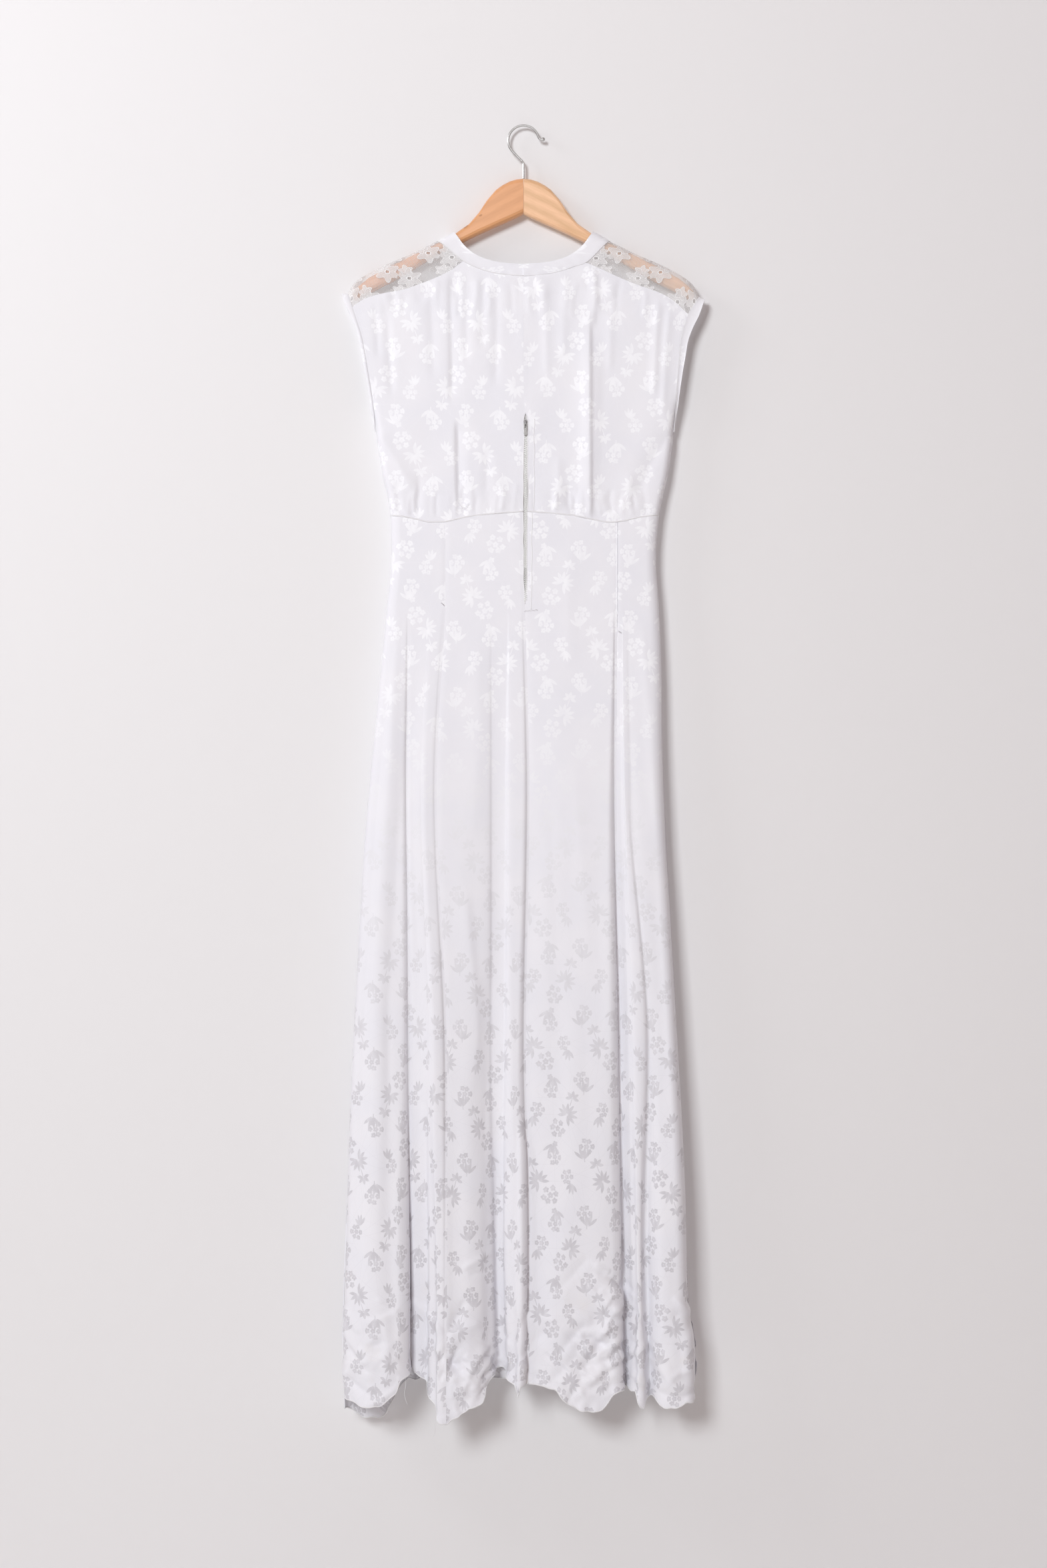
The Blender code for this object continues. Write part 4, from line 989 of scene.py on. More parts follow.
def cloth_piece(node, grid, layout, wall=SHELL_WALL, kind="cloth"):
    """A shell that rides with the dress and stands for its solid.

    The kind is cloth or net: it ends the piece's name, and a net is made of lace.
    """
    name = f"{node}_{kind}"
    material = lace if kind == "net" else brocade
    piece = grid_object(name, grid, layout, material, wall)
    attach(piece, DRESS)
    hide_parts(node)
    width, length = cut_size(grid)
    min(grid_area(grid), width * length)
    print(f"{name}: {grid.shape[0]} x {grid.shape[1]} points, cut {width:.3f} x {length:.3f} m")
    return piece


# %% [markdown]
# Creases
#
# Ironed cloth that has hung for years keeps soft ridges, pulls and crumples. Each crease
# is a line drawn on the plane of the dress, with a depth and a width on each side of it;
# the cloth is pushed out along its normal by a bell curve of the distance to that line.
# A narrow side and a wide one together make the flank of a pressed fold.

# %% Crease helpers
CREASE_POWER = 1.6
CREASE_FADE = 0.18
CREASE_REACH = 3


def near_path(path, x, z):
    """Distance of points from a polyline, and the share of its length where they are nearest.

    For each stretch the nearest point is the foot of the perpendicular, held between the
    stretch's ends. The distance is negative on the left of a line that runs down.
    """
    path = np.asarray(path, float)
    lengths = path_length(path)
    best = np.full(x.shape, np.inf)
    side = np.zeros(x.shape)
    share = np.zeros(x.shape)
    for k, (start, end) in enumerate(zip(path[:-1], path[1:])):
        way = end - start
        t = np.clip(((x - start[0]) * way[0] + (z - start[1]) * way[1]) / (way @ way), 0, 1)
        off_x, off_z = x - start[0] - t * way[0], z - start[1] - t * way[1]
        distance = np.hypot(off_x, off_z)
        closer = distance < best
        best = np.where(closer, distance, best)
        side = np.where(closer, np.sign(way[0] * off_z - way[1] * off_x), side)
        at = (lengths[k] + t * (lengths[k + 1] - lengths[k])) / lengths[-1]
        share = np.where(closer, at, share)
    return best * side, share


def crease_lift(creases, x, z):
    """The lift of the cloth by creases, each (points, depth, width left, width right), in mm.

    Across a crease the lift is a bell, the exponential of minus the power 1.6 of distance
    over the width of that side; along it the lift grows from nothing and fades again.
    """
    lift = np.zeros(x.shape)
    for points, depth, left, right in creases:
        path = np.asarray(points, float) * MM
        reach = CREASE_REACH * max(left, right) * MM
        low, high = path.min(axis=0) - reach, path.max(axis=0) + reach
        near = (x > low[0]) & (x < high[0]) & (z > low[1]) & (z < high[1])
        if not near.any():
            continue
        distance, share = near_path(path, x[near], z[near])
        width = np.where(distance < 0, left, right) * MM
        fade = ease(share, 0, CREASE_FADE) * ease(1 - share, 0, CREASE_FADE)
        lift[near] += depth * MM * np.exp(-(np.abs(distance / width) ** CREASE_POWER)) * fade
    return lift


def scattered_creases(seed, count, box, lengths, tilts, depths, widths):
    """Seeded random creases in a box of the plane: left, right, low, high in mm.

    Each is a shallow bow of three points, with its length, tilt in degrees from level,
    depth and width drawn evenly between the two values given.
    """
    dice = np.random.default_rng(seed)
    rows = []
    for _ in range(count):
        x, z = dice.uniform(box[0], box[1]), dice.uniform(box[2], box[3])
        half = dice.uniform(*lengths) / 2
        tilt = math.radians(dice.uniform(*tilts)) * dice.choice((-1, 1))
        bow = dice.uniform(-0.2, 0.2) * half
        along_x, along_z = half * math.cos(tilt), half * math.sin(tilt)
        depth = dice.uniform(*depths) * dice.choice((-1, 1))
        left, right = dice.uniform(*widths), dice.uniform(*widths)
        points = ((x - along_x, z - along_z), (x + bow * math.sin(tilt), z + bow * math.cos(tilt)),
                  (x + along_x, z + along_z))
        rows.append((points, depth, left, right))
    return rows


def ripples(x, z, seed, wave_x, wave_z, count=9):
    """Slow unevenness from -1 to 1: a sum of sine waves of seeded lengths and phases."""
    dice = np.random.default_rng(seed)
    total = np.zeros(x.shape)
    for _ in range(count):
        turn_x = math.tau / (wave_x * dice.uniform(0.6, 1.8)) * dice.choice((-1, 1))
        turn_z = math.tau / (wave_z * dice.uniform(0.6, 1.8))
        total += np.sin(x * turn_x + z * turn_z + dice.uniform(0, math.tau))
    return total / math.sqrt(count) / 1.5


def pushed(grid, lift):
    """The grid moved out along its normals."""
    return grid + normals(grid) * lift[..., None]


def mirrored(creases, share=1.0, lower=0):
    """Creases for the front: in mirror image, a share as deep and so many mm lower."""
    return [(tuple((-x, z - lower) for x, z in points)[::-1], depth * share, right, left)
            for points, depth, left, right in creases]


print("a crease 2 mm deep lifts its middle by",
      float(crease_lift([(((0, 0), (0, -9)), 2, 3, 3)], np.zeros(1), np.full(1, -0.0045))[0]))

# %% Creases of the back
# Each row: points of the line, depth, width on its left and on its right, all in mm
BODICE_CREASES = (
    (((-90, -178), (-93, -212), (-91, -315), (-92, -360)), 1.3, 3.0, 9.0),
    (((90, -176), (91, -218), (87, -262)), 1.3, 9.0, 3.0),
    (((84, -230), (84.5, -300), (84.8, -520)), 2.4, 14.0, 1.6),
    (((-85, -370), (-84, -430), (-82.5, -505)), 2.0, 1.6, 11.0),
    (((-71, -182), (-73, -240), (-72, -310)), 0.9, 6.0, 6.0),
    (((-50, -186), (-53, -290)), 0.8, 5.0, 7.0),
    (((-33, -190), (-35, -340)), 0.9, 6.0, 5.0),
    (((27, -188), (30, -330)), 0.8, 5.0, 6.0),
    (((52, -184), (50, -300)), 0.7, 6.0, 6.0),
    (((112, -190), (109, -320)), 0.8, 7.0, 5.0),
    (((-118, -192), (-114, -330)), 0.8, 6.0, 7.0),
    (((172, -216), (168, -270), (165, -350)), 1.2, 5.0, 5.0),
    (((186, -222), (180, -290), (176, -380)), 1.0, 4.0, 6.0),
    (((-176, -216), (-172, -260), (-166, -350)), 1.0, 6.0, 5.0),
    (((-188, -228), (-184, -300)), 0.8, 4.0, 5.0),
    (((-188, -384), (-160, -430), (-138, -470)), -1.1, 7.0, 10.0),
    (((190, -384), (160, -432), (140, -478)), -1.1, 10.0, 7.0),
    (((-45, -410), (-48, -494)), 0.9, 7.0, 7.0),
    (((44, -420), (46, -494)), 0.9, 7.0, 7.0),
    (((-132, -440), (-134, -500)), 0.8, 6.0, 7.0),
    (((134, -440), (136, -500)), 0.8, 7.0, 6.0),
)
SKIRT_CREASES = (
    (((-75, -960), (-61, -1095), (-58, -1152), (-64, -1230)), 1.6, 12.0, 5.0),
    (((-44, -1060), (-45, -1180), (-50, -1330)), -1.4, 8.0, 8.0),
    (((60, -760), (70, -900), (84, -1080), (90, -1250)), 1.2, 16.0, 14.0),
    (((30, -800), (38, -960), (46, -1160), (52, -1420)), -1.1, 14.0, 12.0),
    (((-160, -640), (-172, -840), (-188, -1080), (-196, -1300)), 1.3, 10.0, 14.0),
    (((-140, -700), (-158, -900), (-170, -1120), (-176, -1480)), -1.2, 9.0, 10.0),
    (((150, -620), (160, -760), (170, -920)), 1.1, 8.0, 8.0),
    (((176, -900), (184, -1080), (190, -1300), (196, -1500)), 1.2, 9.0, 7.0),
    (((-60, -640), (-56, -760), (-66, -930)), 0.9, 14.0, 12.0),
    (((60, -520), (56, -600), (60, -700)), 0.7, 12.0, 12.0),
    (((-120, -1480), (-132, -1530), (-138, -1590)), 1.6, 6.0, 6.0),
    (((-5, -1250), (-4, -1420), (-3, -1610)), 4.0, 2.5, 10.0),
    (((12, -1260), (13, -1430), (12, -1600)), -1.6, 7.0, 9.0),
    (((112, -1150), (115, -1350), (117, -1500)), -1.6, 9.0, 6.0),
    (((-172, -1060), (-168, -1280), (-166, -1560)), -1.4, 8.0, 8.0),
)
HEM_FOLDS = (
    (((-229, -1500), (-218, -1512), (-206, -1530)), 2.2, 4.0, 6.0),
    (((-230, -1516), (-222, -1535), (-204, -1558)), 2.6, 4.0, 7.0),
    (((-222, -1545), (-200, -1572), (-186, -1578)), -2.0, 5.0, 5.0),
    (((-182, -1574), (-166, -1560), (-154, -1556)), 2.0, 6.0, 4.0),
    (((-206, -1622), (-184, -1612), (-158, -1594)), 2.4, 4.0, 5.0),
    (((-176, -1500), (-170, -1540), (-172, -1600)), 1.8, 5.0, 7.0),
    (((-78, -1448), (-58, -1437), (-38, -1430)), 2.0, 3.0, 5.0),
    (((-70, -1455), (-50, -1452), (-36, -1446)), -1.6, 3.0, 4.0),
    (((-38, -1540), (-54, -1556), (-68, -1578), (-80, -1612)), 3.4, 7.0, 3.5),
    (((-40, -1562), (-56, -1584), (-64, -1606)), 2.6, 6.0, 3.0),
    (((-92, -1566), (-76, -1574), (-70, -1590)), -2.2, 5.0, 5.0),
    (((-98, -1590), (-86, -1612), (-82, -1632)), 2.4, 4.0, 6.0),
    (((-34, -1588), (-52, -1604), (-74, -1622)), 2.2, 4.0, 4.0),
    (((126, -1468), (112, -1480), (94, -1506)), 2.6, 7.0, 3.0),
    (((128, -1488), (110, -1508), (98, -1532)), 3.2, 7.0, 3.0),
    (((126, -1530), (108, -1546), (88, -1556)), 2.8, 6.0, 3.0),
    (((124, -1556), (104, -1562), (82, -1572)), -2.4, 5.0, 5.0),
    (((116, -1584), (88, -1590), (56, -1614)), 2.8, 5.0, 4.0),
    (((60, -1560), (76, -1572), (98, -1580)), 2.0, 4.0, 5.0),
    (((24, -1580), (38, -1588), (54, -1592)), 1.8, 4.0, 4.0),
    (((136, -1580), (146, -1590), (156, -1592)), 2.2, 4.0, 4.0),
    (((140, -1520), (146, -1546), (144, -1576)), 1.8, 4.0, 6.0),
    (((165, -1540), (174, -1572), (190, -1592), (213, -1600)), 3.0, 6.0, 3.0),
    (((214, -1572), (196, -1580), (178, -1578)), 2.2, 4.0, 5.0),
    (((168, -1602), (190, -1608), (214, -1606)), -2.2, 4.0, 4.0),
    (((212, -1520), (204, -1548), (206, -1580)), 2.0, 5.0, 5.0),
)
HEM_CRUMPLES = (
    scattered_creases(11, 60, (-225, 215, -1625, -1490), (25, 90), (15, 60), (0.8, 2.8), (2.5, 8))
    + scattered_creases(12, 36, (-100, -30, -1640, -1560), (15, 55), (20, 70), (1.0, 3.2), (2.5, 6))
    + scattered_creases(13, 36, (60, 125, -1620, -1440), (20, 70), (20, 65), (1.0, 3.0), (2.5, 7))
)
by_hand = len(BODICE_CREASES) + len(SKIRT_CREASES) + len(HEM_FOLDS)
print("creases by hand:", by_hand, "scattered:", len(HEM_CRUMPLES))

# %% [markdown]
# Woven flowers
#
# A brocade's flowers are made by the loom: on the flowers the threads lie on the surface
# and shine, on the ground they are bound down and look matt. They could be painted, but a
# picture stretches and blurs. Here they are a formula instead: a petal is a pointed oval
# round a centre, a rosette is many petals, and a spray is a rosette, a cluster of small
# blossoms and a sprig. A Field lets us write such formulas as arithmetic, and turns each
# step into one Math node.


# %% Arithmetic that makes nodes
class Field:
    """A number that varies over a surface: the output of a node in a material."""

    def __init__(self, tree, socket):
        self.tree = tree
        self.socket = socket

    def math(self, operation, *others, clamp=False):
        """One Math node whose inputs are this field and the others."""
        node = self.tree.nodes.new("ShaderNodeMath")
        node.operation = operation
        node.use_clamp = clamp
        set_inputs(node, dict(enumerate((self, *others))))
        return Field(self.tree, node.outputs[0])

    def __add__(self, other):
        return self.math("ADD", other)

    def __sub__(self, other):
        return self.math("SUBTRACT", other)

    def __mul__(self, other):
        return self.math("MULTIPLY", other)

    def __truediv__(self, other):
        return self.math("DIVIDE", other)

    def step(self, start, end):
        """0 at start and below, 1 at end and above, even between."""
        return self.math("MULTIPLY_ADD", 1 / (end - start), -start / (end - start), clamp=True)

    def joined(self, other):
        """Two masks laid over each other: the larger of them."""
        return self.math("MAXIMUM", other)

    def rest(self):
        """What is left of one: one less the field."""
        return self * -1.0 + 1.0

    def within(self, reach):
        """1 where the field lies nearer to zero than the reach, and 0 elsewhere."""
        return self.math("ABSOLUTE").math("LESS_THAN", reach)


def set_inputs(node, values):
    """Sets a node's inputs, by name or number: a Field is linked, anything else is stored."""
    for key, value in values.items():
        if isinstance(value, Field):
            value.tree.links.new(value.socket, node.inputs[key])
        else:
            node.inputs[key].default_value = value


def surface_fields(tree, kind="UV"):
    """The two fields of the flat map, or the three of Object coordinates, in metres."""
    coordinates = tree.nodes.new("ShaderNodeTexCoord")
    split = tree.nodes.new("ShaderNodeSeparateXYZ")
    tree.links.new(coordinates.outputs[kind], split.inputs[0])
    return [Field(tree, split.outputs[k]) for k in range(2 if kind == "UV" else 3)]


def noise(tree, scale, detail=3.0, stretch=(1.0, 1.0, 1.0), kind="UV"):
    """Cloudy noise from 0 to 1, with so many lumps to a metre, stretched on each axis."""
    coordinates = tree.nodes.new("ShaderNodeTexCoord")
    place = tree.nodes.new("ShaderNodeMapping")
    set_inputs(place, {"Scale": stretch})
    cloud = tree.nodes.new("ShaderNodeTexNoise")
    set_inputs(cloud, {"Scale": scale, "Detail": detail})
    tree.links.new(coordinates.outputs[kind], place.inputs["Vector"])
    tree.links.new(place.outputs[0], cloud.inputs["Vector"])
    return Field(tree, cloud.outputs[0])


def turned(x, y, degrees):
    """Coordinates turned about their origin."""
    c, s = math.cos(math.radians(degrees)), math.sin(math.radians(degrees))
    return x * c + y * s, y * c - x * s


def blended(first, second, share):
    """The first field where share is 0 and the second where it is 1."""
    return first + (second - first) * share


def from_middle(x, y):
    """Distance from the origin: the root of the sum of squares."""
    return (x * x + y * y).math("SQRT")


print("a point on x, turned by 90 degrees:", [round(v, 3) for v in turned(1.0, 0.0, 90)])

# %% Petals, blossoms and where they lie
SOFT_EDGE = 0.35 * MM
BLOSSOM_WOBBLE = 0.12
TILE = (90.0 * MM, 168.0 * MM)


def petals(x, y, count, inner, outer, half_width, point=0.8, only=None, but=None):
    """Pointed ovals round the origin, from the inner to the outer radius.

    The angle, times the count over a full turn, falls nearest to a whole number on a
    petal's middle line. The distance from that line is the angle left over times the
    radius. A petal is as wide as its half width times the power of four share times one
    less share. only keeps the petals with numbers between two values, but leaves those out.
    Radii and half width are in mm.
    """
    radius = from_middle(x, y)
    spoke = y.math("ARCTAN2", x) * (count / math.tau)
    number = spoke.math("ROUND")
    across = (spoke - number).math("ABSOLUTE") * radius * (math.tau / count)
    share = radius.step(inner * MM, outer * MM)
    belly = (share * share.rest() * 4.0).math("POWER", point)
    mask = (belly * (half_width * MM) - across).step(-SOFT_EDGE / 2, SOFT_EDGE / 2)
    for limits, inside in ((only, True), (but, False)):
        if limits:
            middle, reach = (limits[0] + limits[1]) / 2, (limits[1] - limits[0]) / 2 + 0.4
            among = number.math("COMPARE", middle, reach)
            mask = mask * (among if inside else among.rest())
    return mask


def moved(x, y, across, up):
    """Coordinates from a point that lies so many mm across and up."""
    return x - across * MM, y - up * MM


def blossoms(x, y, half_x, half_y, pitch, size):
    """Small five-petalled flowers on a brick pattern, those whose middles lie in an ellipse.

    The ellipse's half axes, the pitch of the pattern and a flower's radius are in mm.
    """
    half_x, half_y, pitch = half_x * MM, half_y * MM, pitch * MM
    row = (y / pitch).math("ROUND")
    odd = row.math("MODULO", 2.0).math("ABSOLUTE")
    column = ((x / pitch) + odd * 0.5).math("ROUND")
    middle_x = (column - odd * 0.5) * pitch
    middle_y = row * pitch
    reach = middle_x * middle_x * (1 / half_x**2) + middle_y * middle_y * (1 / half_y**2)
    wobble_x = (row * 2.3 + column * 1.7).math("SINE") * (pitch * BLOSSOM_WOBBLE)
    wobble_y = (row * 1.1 + column * 3.1).math("SINE") * (pitch * BLOSSOM_WOBBLE)
    own_x, own_y = x - middle_x - wobble_x, y - middle_y - wobble_y
    flower = petals(own_x, own_y, 5, size * 0.14, size, size * 0.44, 0.55)
    return flower * reach.math("LESS_THAN", 1.0)


def nearest_copy(x, y, place, tile):
    """Coordinates from the nearest copy of a motif; its place in the tile is in mm.

    The copies stand on a lattice of tiles, and between them, half a tile across and half a
    tile down, stands a mirrored set.
    """
    wide, tall = tile
    at_x, at_y = place[0] * MM, place[1] * MM
    half_x, half_y = wide / 2, tall / 2
    own_x = (x - at_x).math("WRAP", half_x, -half_x)
    own_y = (y - at_y).math("WRAP", half_y, -half_y)
    other_x = (x - (half_x - at_x)).math("WRAP", half_x, -half_x) * -1.0
    other_y = (y - (at_y - half_y)).math("WRAP", half_y, -half_y)
    own = own_x * own_x + own_y * own_y
    other = other_x * other_x + other_y * other_y
    choice = own.math("GREATER_THAN", other)
    return blended(own_x, other_x, choice), blended(own_y, other_y, choice)


def stem(x, y, start, end, half_width):
    """A thin straight line between two points, all in mm."""
    way = (end[0] - start[0], end[1] - start[1])
    length = math.hypot(*way)
    way = (way[0] / length, way[1] / length)
    out_x, out_y = moved(x, y, *start)
    run = out_x * way[0] + out_y * way[1]
    off = out_x * way[1] - out_y * way[0]
    on = off.within(half_width * MM) * run.math("GREATER_THAN", 0.0)
    return on * run.math("LESS_THAN", length * MM)


def spray(x, y):
    """A large rosette, a slanting cluster of blossoms above it and a sprig below."""
    mask = petals(x, y, 11, 1.2, 14.8, 2.1, 0.9, but=(1, 2))
    mask = mask.joined(blossoms(*turned(*moved(x, y, 15.5, 17.5), 50), 14.0, 12.4, 8.0, 4.2))
    mask = mask.joined(petals(*moved(x, y, 20.5, 37.0), 5, 0.4, 4.2, 1.8))
    mask = mask.joined(petals(*moved(x, y, -8.0, -21.0), 7, 0.8, 9.2, 2.1, but=(1, 2)))
    return mask.joined(stem(x, y, (-8.0, -21.0), (-4.5, -11.0), 0.5))


def bouquet(x, y):
    """A small bunch: blossoms at the top, long leaves that spread from the stem below them."""
    mask = blossoms(*moved(x, y, 3.0, 5.0), 9.6, 7.4, 6.8, 3.7)
    mask = mask.joined(petals(*moved(x, y, -1.0, -12.0), 13, 2.0, 16.5, 1.9, only=(2, 5)))
    return mask.joined(stem(x, y, (0.0, 0.0), (0.0, -14.5), 0.45))


def twig(x, y):
    """A fan of leaves with a bunch of four blossoms below it, to one side."""
    fan_x, fan_y = (x + 3.0 * MM) * 1.25, y * 0.85
    mask = petals(fan_x, fan_y, 11, 0.8, 12.5, 2.0, only=(1, 4))
    return mask.joined(blossoms(*moved(x, y, 4.0, -8.0), 7.0, 7.2, 6.2, 3.5))


# Each small motif: its shape, where it stands from the rosette in mm, and how far it leans
SMALL_MOTIFS = (
    (bouquet, (21, -36), 6),
    (twig, (-1, -82), 0),
    (bouquet, (-22, -123), 180),
)


def woven_flowers(tree):
    """A mask that is 1 on the woven flowers and 0 on the ground between them."""
    x, y = surface_fields(tree)
    mask = spray(*nearest_copy(x, y, (0, 0), TILE))
    for motif, place, lean in SMALL_MOTIFS:
        mask = mask.joined(motif(*turned(*nearest_copy(x, y, place, TILE), lean)))
    return mask


print("flower tile:", TILE, "m")


# %% [markdown]
# The brocade itself
#
# The flowers look brighter than the ground near the top, where the lamp glances off the
# shining threads, and greyer near the hem, where those threads mirror the darker room.
# We give them a smoother finish than the ground and paint that sheen into their colour: a painted
# highlight near the top that slides with the height into a painted grey reflection near the hem.
# A dress of this age is also a little yellow at the hem and has cloudy marks.


# %% Brocade
def colour_between(tree, first, second, share):
    """A colour that runs from the first to the second as the share goes from 0 to 1."""
    mix = tree.nodes.new("ShaderNodeMix")
    mix.data_type = "RGBA"
    tree.links.new(share.socket, mix.inputs["Factor"])
    for slot, value in (("A", first), ("B", second)):
        socket = [s for s in mix.inputs if s.name == slot and s.type == "RGBA"][0]
        if isinstance(value, Field):
            tree.links.new(value.socket, socket)
        else:
            socket.default_value = (*value, 1.0)
    return Field(tree, [s for s in mix.outputs if s.type == "RGBA"][0])


def bumped(tree, height, depth, shader):
    """Raises the surface's shading by a height field of 0 to 1 times a depth in metres."""
    bump = tree.nodes.new("ShaderNodeBump")
    set_inputs(bump, {"Distance": depth, "Strength": 1.0, "Height": height})
    tree.links.new(bump.outputs[0], shader.inputs["Normal"])


GROUND_WHITE = (0.80, 0.80, 0.845)
GROUND_CLOUDY = (0.83, 0.825, 0.86)
# The flowers' two colours are painted light: a painted highlight for the top and a painted grey reflection
# for the hem
FLOWER_PAINTED_HIGHLIGHT = (0.90, 0.905, 0.935)
FLOWER_PAINTED_GREY_REFLECTION = (0.615, 0.605, 0.64)
AGED_YELLOW = (0.70, 0.62, 0.46)
# Heights in metres between which the flowers' painted highlight turns into a painted grey reflection, and
# the marks of age set in
PAINTED_SHEEN_HEIGHTS = (-0.68, -1.28)
AGEING = (-1.40, -1.60)


def make_brocade():
    """White cloth with woven flowers whose colour carries a painted sheen that changes with height, a fine
    weave and faint marks of age.
    """
    material, tree, shader = new_material("brocade")
    flowers = woven_flowers(tree)
    _, _, height = surface_fields(tree, "Object")
    # Painted sheen: the flowers' colour runs from the painted highlight at the top to the painted grey
    # reflection lower down
    flower_painted_sheen = colour_between(tree, FLOWER_PAINTED_HIGHLIGHT, FLOWER_PAINTED_GREY_REFLECTION, height.step(*PAINTED_SHEEN_HEIGHTS))
    cloud = noise(tree, 14.0, 2.0)
    tint = colour_between(tree, GROUND_WHITE, GROUND_CLOUDY, cloud.step(0.35, 0.7))
    glint = noise(tree, 150.0, 2.0, (1.0, 0.5, 1.0)).step(0.35, 0.62) * 0.4 + 0.6
    colour = colour_between(tree, tint, flower_painted_sheen, flowers * glint)
    marks = noise(tree, 17.0, 4.0).step(0.60, 0.78) * height.step(*AGEING)
    colour = colour_between(tree, colour, AGED_YELLOW, marks * 0.30)
    set_inputs(shader, {
        "Base Color": colour, "Roughness": flowers * -0.12 + 0.58, "Sheen Weight": 0.15,
        "Sheen Roughness": 0.4, "Specular IOR Level": 0.22,
    })
    bumped(tree, noise(tree, 900.0, 2.0, (1.0, 0.35, 1.0)), 0.06 * MM, shader)
    print("brocade:", len(tree.nodes), "nodes")
    return material


def make_plain_cloth(name, colour):
    """Matt cotton for the bands' insides and bindings: a fine crossed weave."""
    material, tree, shader = new_material(name)
    across = noise(tree, 500.0, 1.0, (1.0, 0.2, 1.0))
    shade = colour_between(tree, colour, tuple(0.92 * c for c in colour), across)
    set_inputs(shader, {"Base Color": shade, "Roughness": 0.75, "Sheen Weight": 0.2})
    bumped(tree, across, 0.1 * MM, shader)
    return material


brocade = make_brocade()
binding = make_plain_cloth("binding", (0.83, 0.825, 0.84))
# The zip tape is white cloth; its grey colour is painted shade, standing for the shadow inside the zip's
# opening
tape_painted_shade = make_plain_cloth("zip_tape_cloth", (0.61, 0.61, 0.60))

# %% [markdown]
# Lace
#
# The shoulders are a machine lace: a fine net of six-sided gaps, with flowers whose middles
# are worked densely and whose edges carry a thick cord. The net's gaps are far too small to
# cut as holes, so the material lets light through them.


# %% Lace
LACE_TILE = (58.0 * MM, 40.0 * MM)
LACE_FLOWER = 15.0 * MM
LACE_PETALS = 6
LACE_WHITE = (0.95, 0.945, 0.95, 1.0)
NET_PITCH = 1.5 * MM
# Half a thread's width as a share of the pitch, and half widths of the flower's lines
NET_THREAD = 0.075
CORD, INNER_CORD, RING, LEAF_CORD = 0.5 * MM, 0.3 * MM, 0.55 * MM, 0.45 * MM
# How far the inner line lies inside the flower's edge, the ring's radius, the leaf's size
INNER_INSET, RING_RADIUS, LEAF_SIZE = 3.2 * MM, 2.9 * MM, 8.5 * MM
# How well each layer covers what lies behind it
DENSE_COVER, NET_COVER, LINE_COVER = 0.42, 0.62, 0.92


def bloom_edge(x, y, size, count):
    """How far a point lies outside a scalloped flower: its radius less that of the edge.

    The edge's radius is the size times 0.8 plus 0.2 times the cosine of count angles.
    """
    radius = from_middle(x, y)
    angle = y.math("ARCTAN2", x)
    edge = ((angle * float(count)).math("COSINE") * 0.2 + 0.8) * size
    return radius - edge, radius, angle


def make_lace():
    """Net, dense petals and raised outlines, with the gaps see-through."""
    material, tree, shader = new_material("lace")
    x, y = surface_fields(tree)
    threads = None
    for degrees in (30, 90, 150):
        over, _ = turned(x, y, degrees)
        thread = ((over / NET_PITCH).math("FRACT") - 0.5).within(NET_THREAD)
        threads = thread if threads is None else threads.joined(thread)
    near_x, near_y = nearest_copy(x, y, (6, 3), LACE_TILE)
    outside, radius, angle = bloom_edge(near_x, near_y, LACE_FLOWER, LACE_PETALS)
    fill = outside.math("LESS_THAN", 0.0)
    rim = outside.within(CORD)
    inner = (outside + INNER_INSET).within(INNER_CORD)
    ring = (radius - RING_RADIUS).within(RING)
    spoke = (angle * (LACE_PETALS / math.tau) + 0.5).math("FRACT") - 0.5
    vein = (spoke.math("ABSOLUTE") * radius).math("LESS_THAN", CORD) * fill
    leaf_x, leaf_y = nearest_copy(x, y, (26, -6), LACE_TILE)
    leaf_outside, _, _ = bloom_edge(leaf_x, leaf_y, LEAF_SIZE, 5)
    leaves = leaf_outside.within(LEAF_CORD)
    leaf_fill = leaf_outside.math("LESS_THAN", 0.0)
    eyelets = petals(near_x, near_y, 4, 0.4, 2.2, 0.7)
    cloud = noise(tree, 320.0, 1.0)
    dense = (fill * DENSE_COVER).joined(leaf_fill * DENSE_COVER) + cloud * 0.04
    lines = rim.joined(ring).joined(vein * 0.5).joined(inner * 0.6)
    cover = dense.joined(threads * NET_COVER)
    cover = cover.joined(lines.joined(leaves) * LINE_COVER) * eyelets.rest()
    set_inputs(shader, {"Base Color": LACE_WHITE, "Roughness": 0.7, "Alpha": cover})
    bumped(tree, lines + leaves * 0.5, 0.3 * MM, shader)
    print("lace:", len(tree.nodes), "nodes")
    return material


lace = make_lace()

# %% [markdown]
# Wood, steel and zip metal
#
# The hanger is two pieces of beech glued at the middle, lacquered, each with its own grain
# and its own tone. Grain is noise stretched along the wood: long thin streaks, bent round a
# knot. The hook is bright drawn wire, and the zip is dull grey metal.


# %% Hard materials
GRAIN_SCALE = 420.0
GRAIN_STRETCH = 0.12


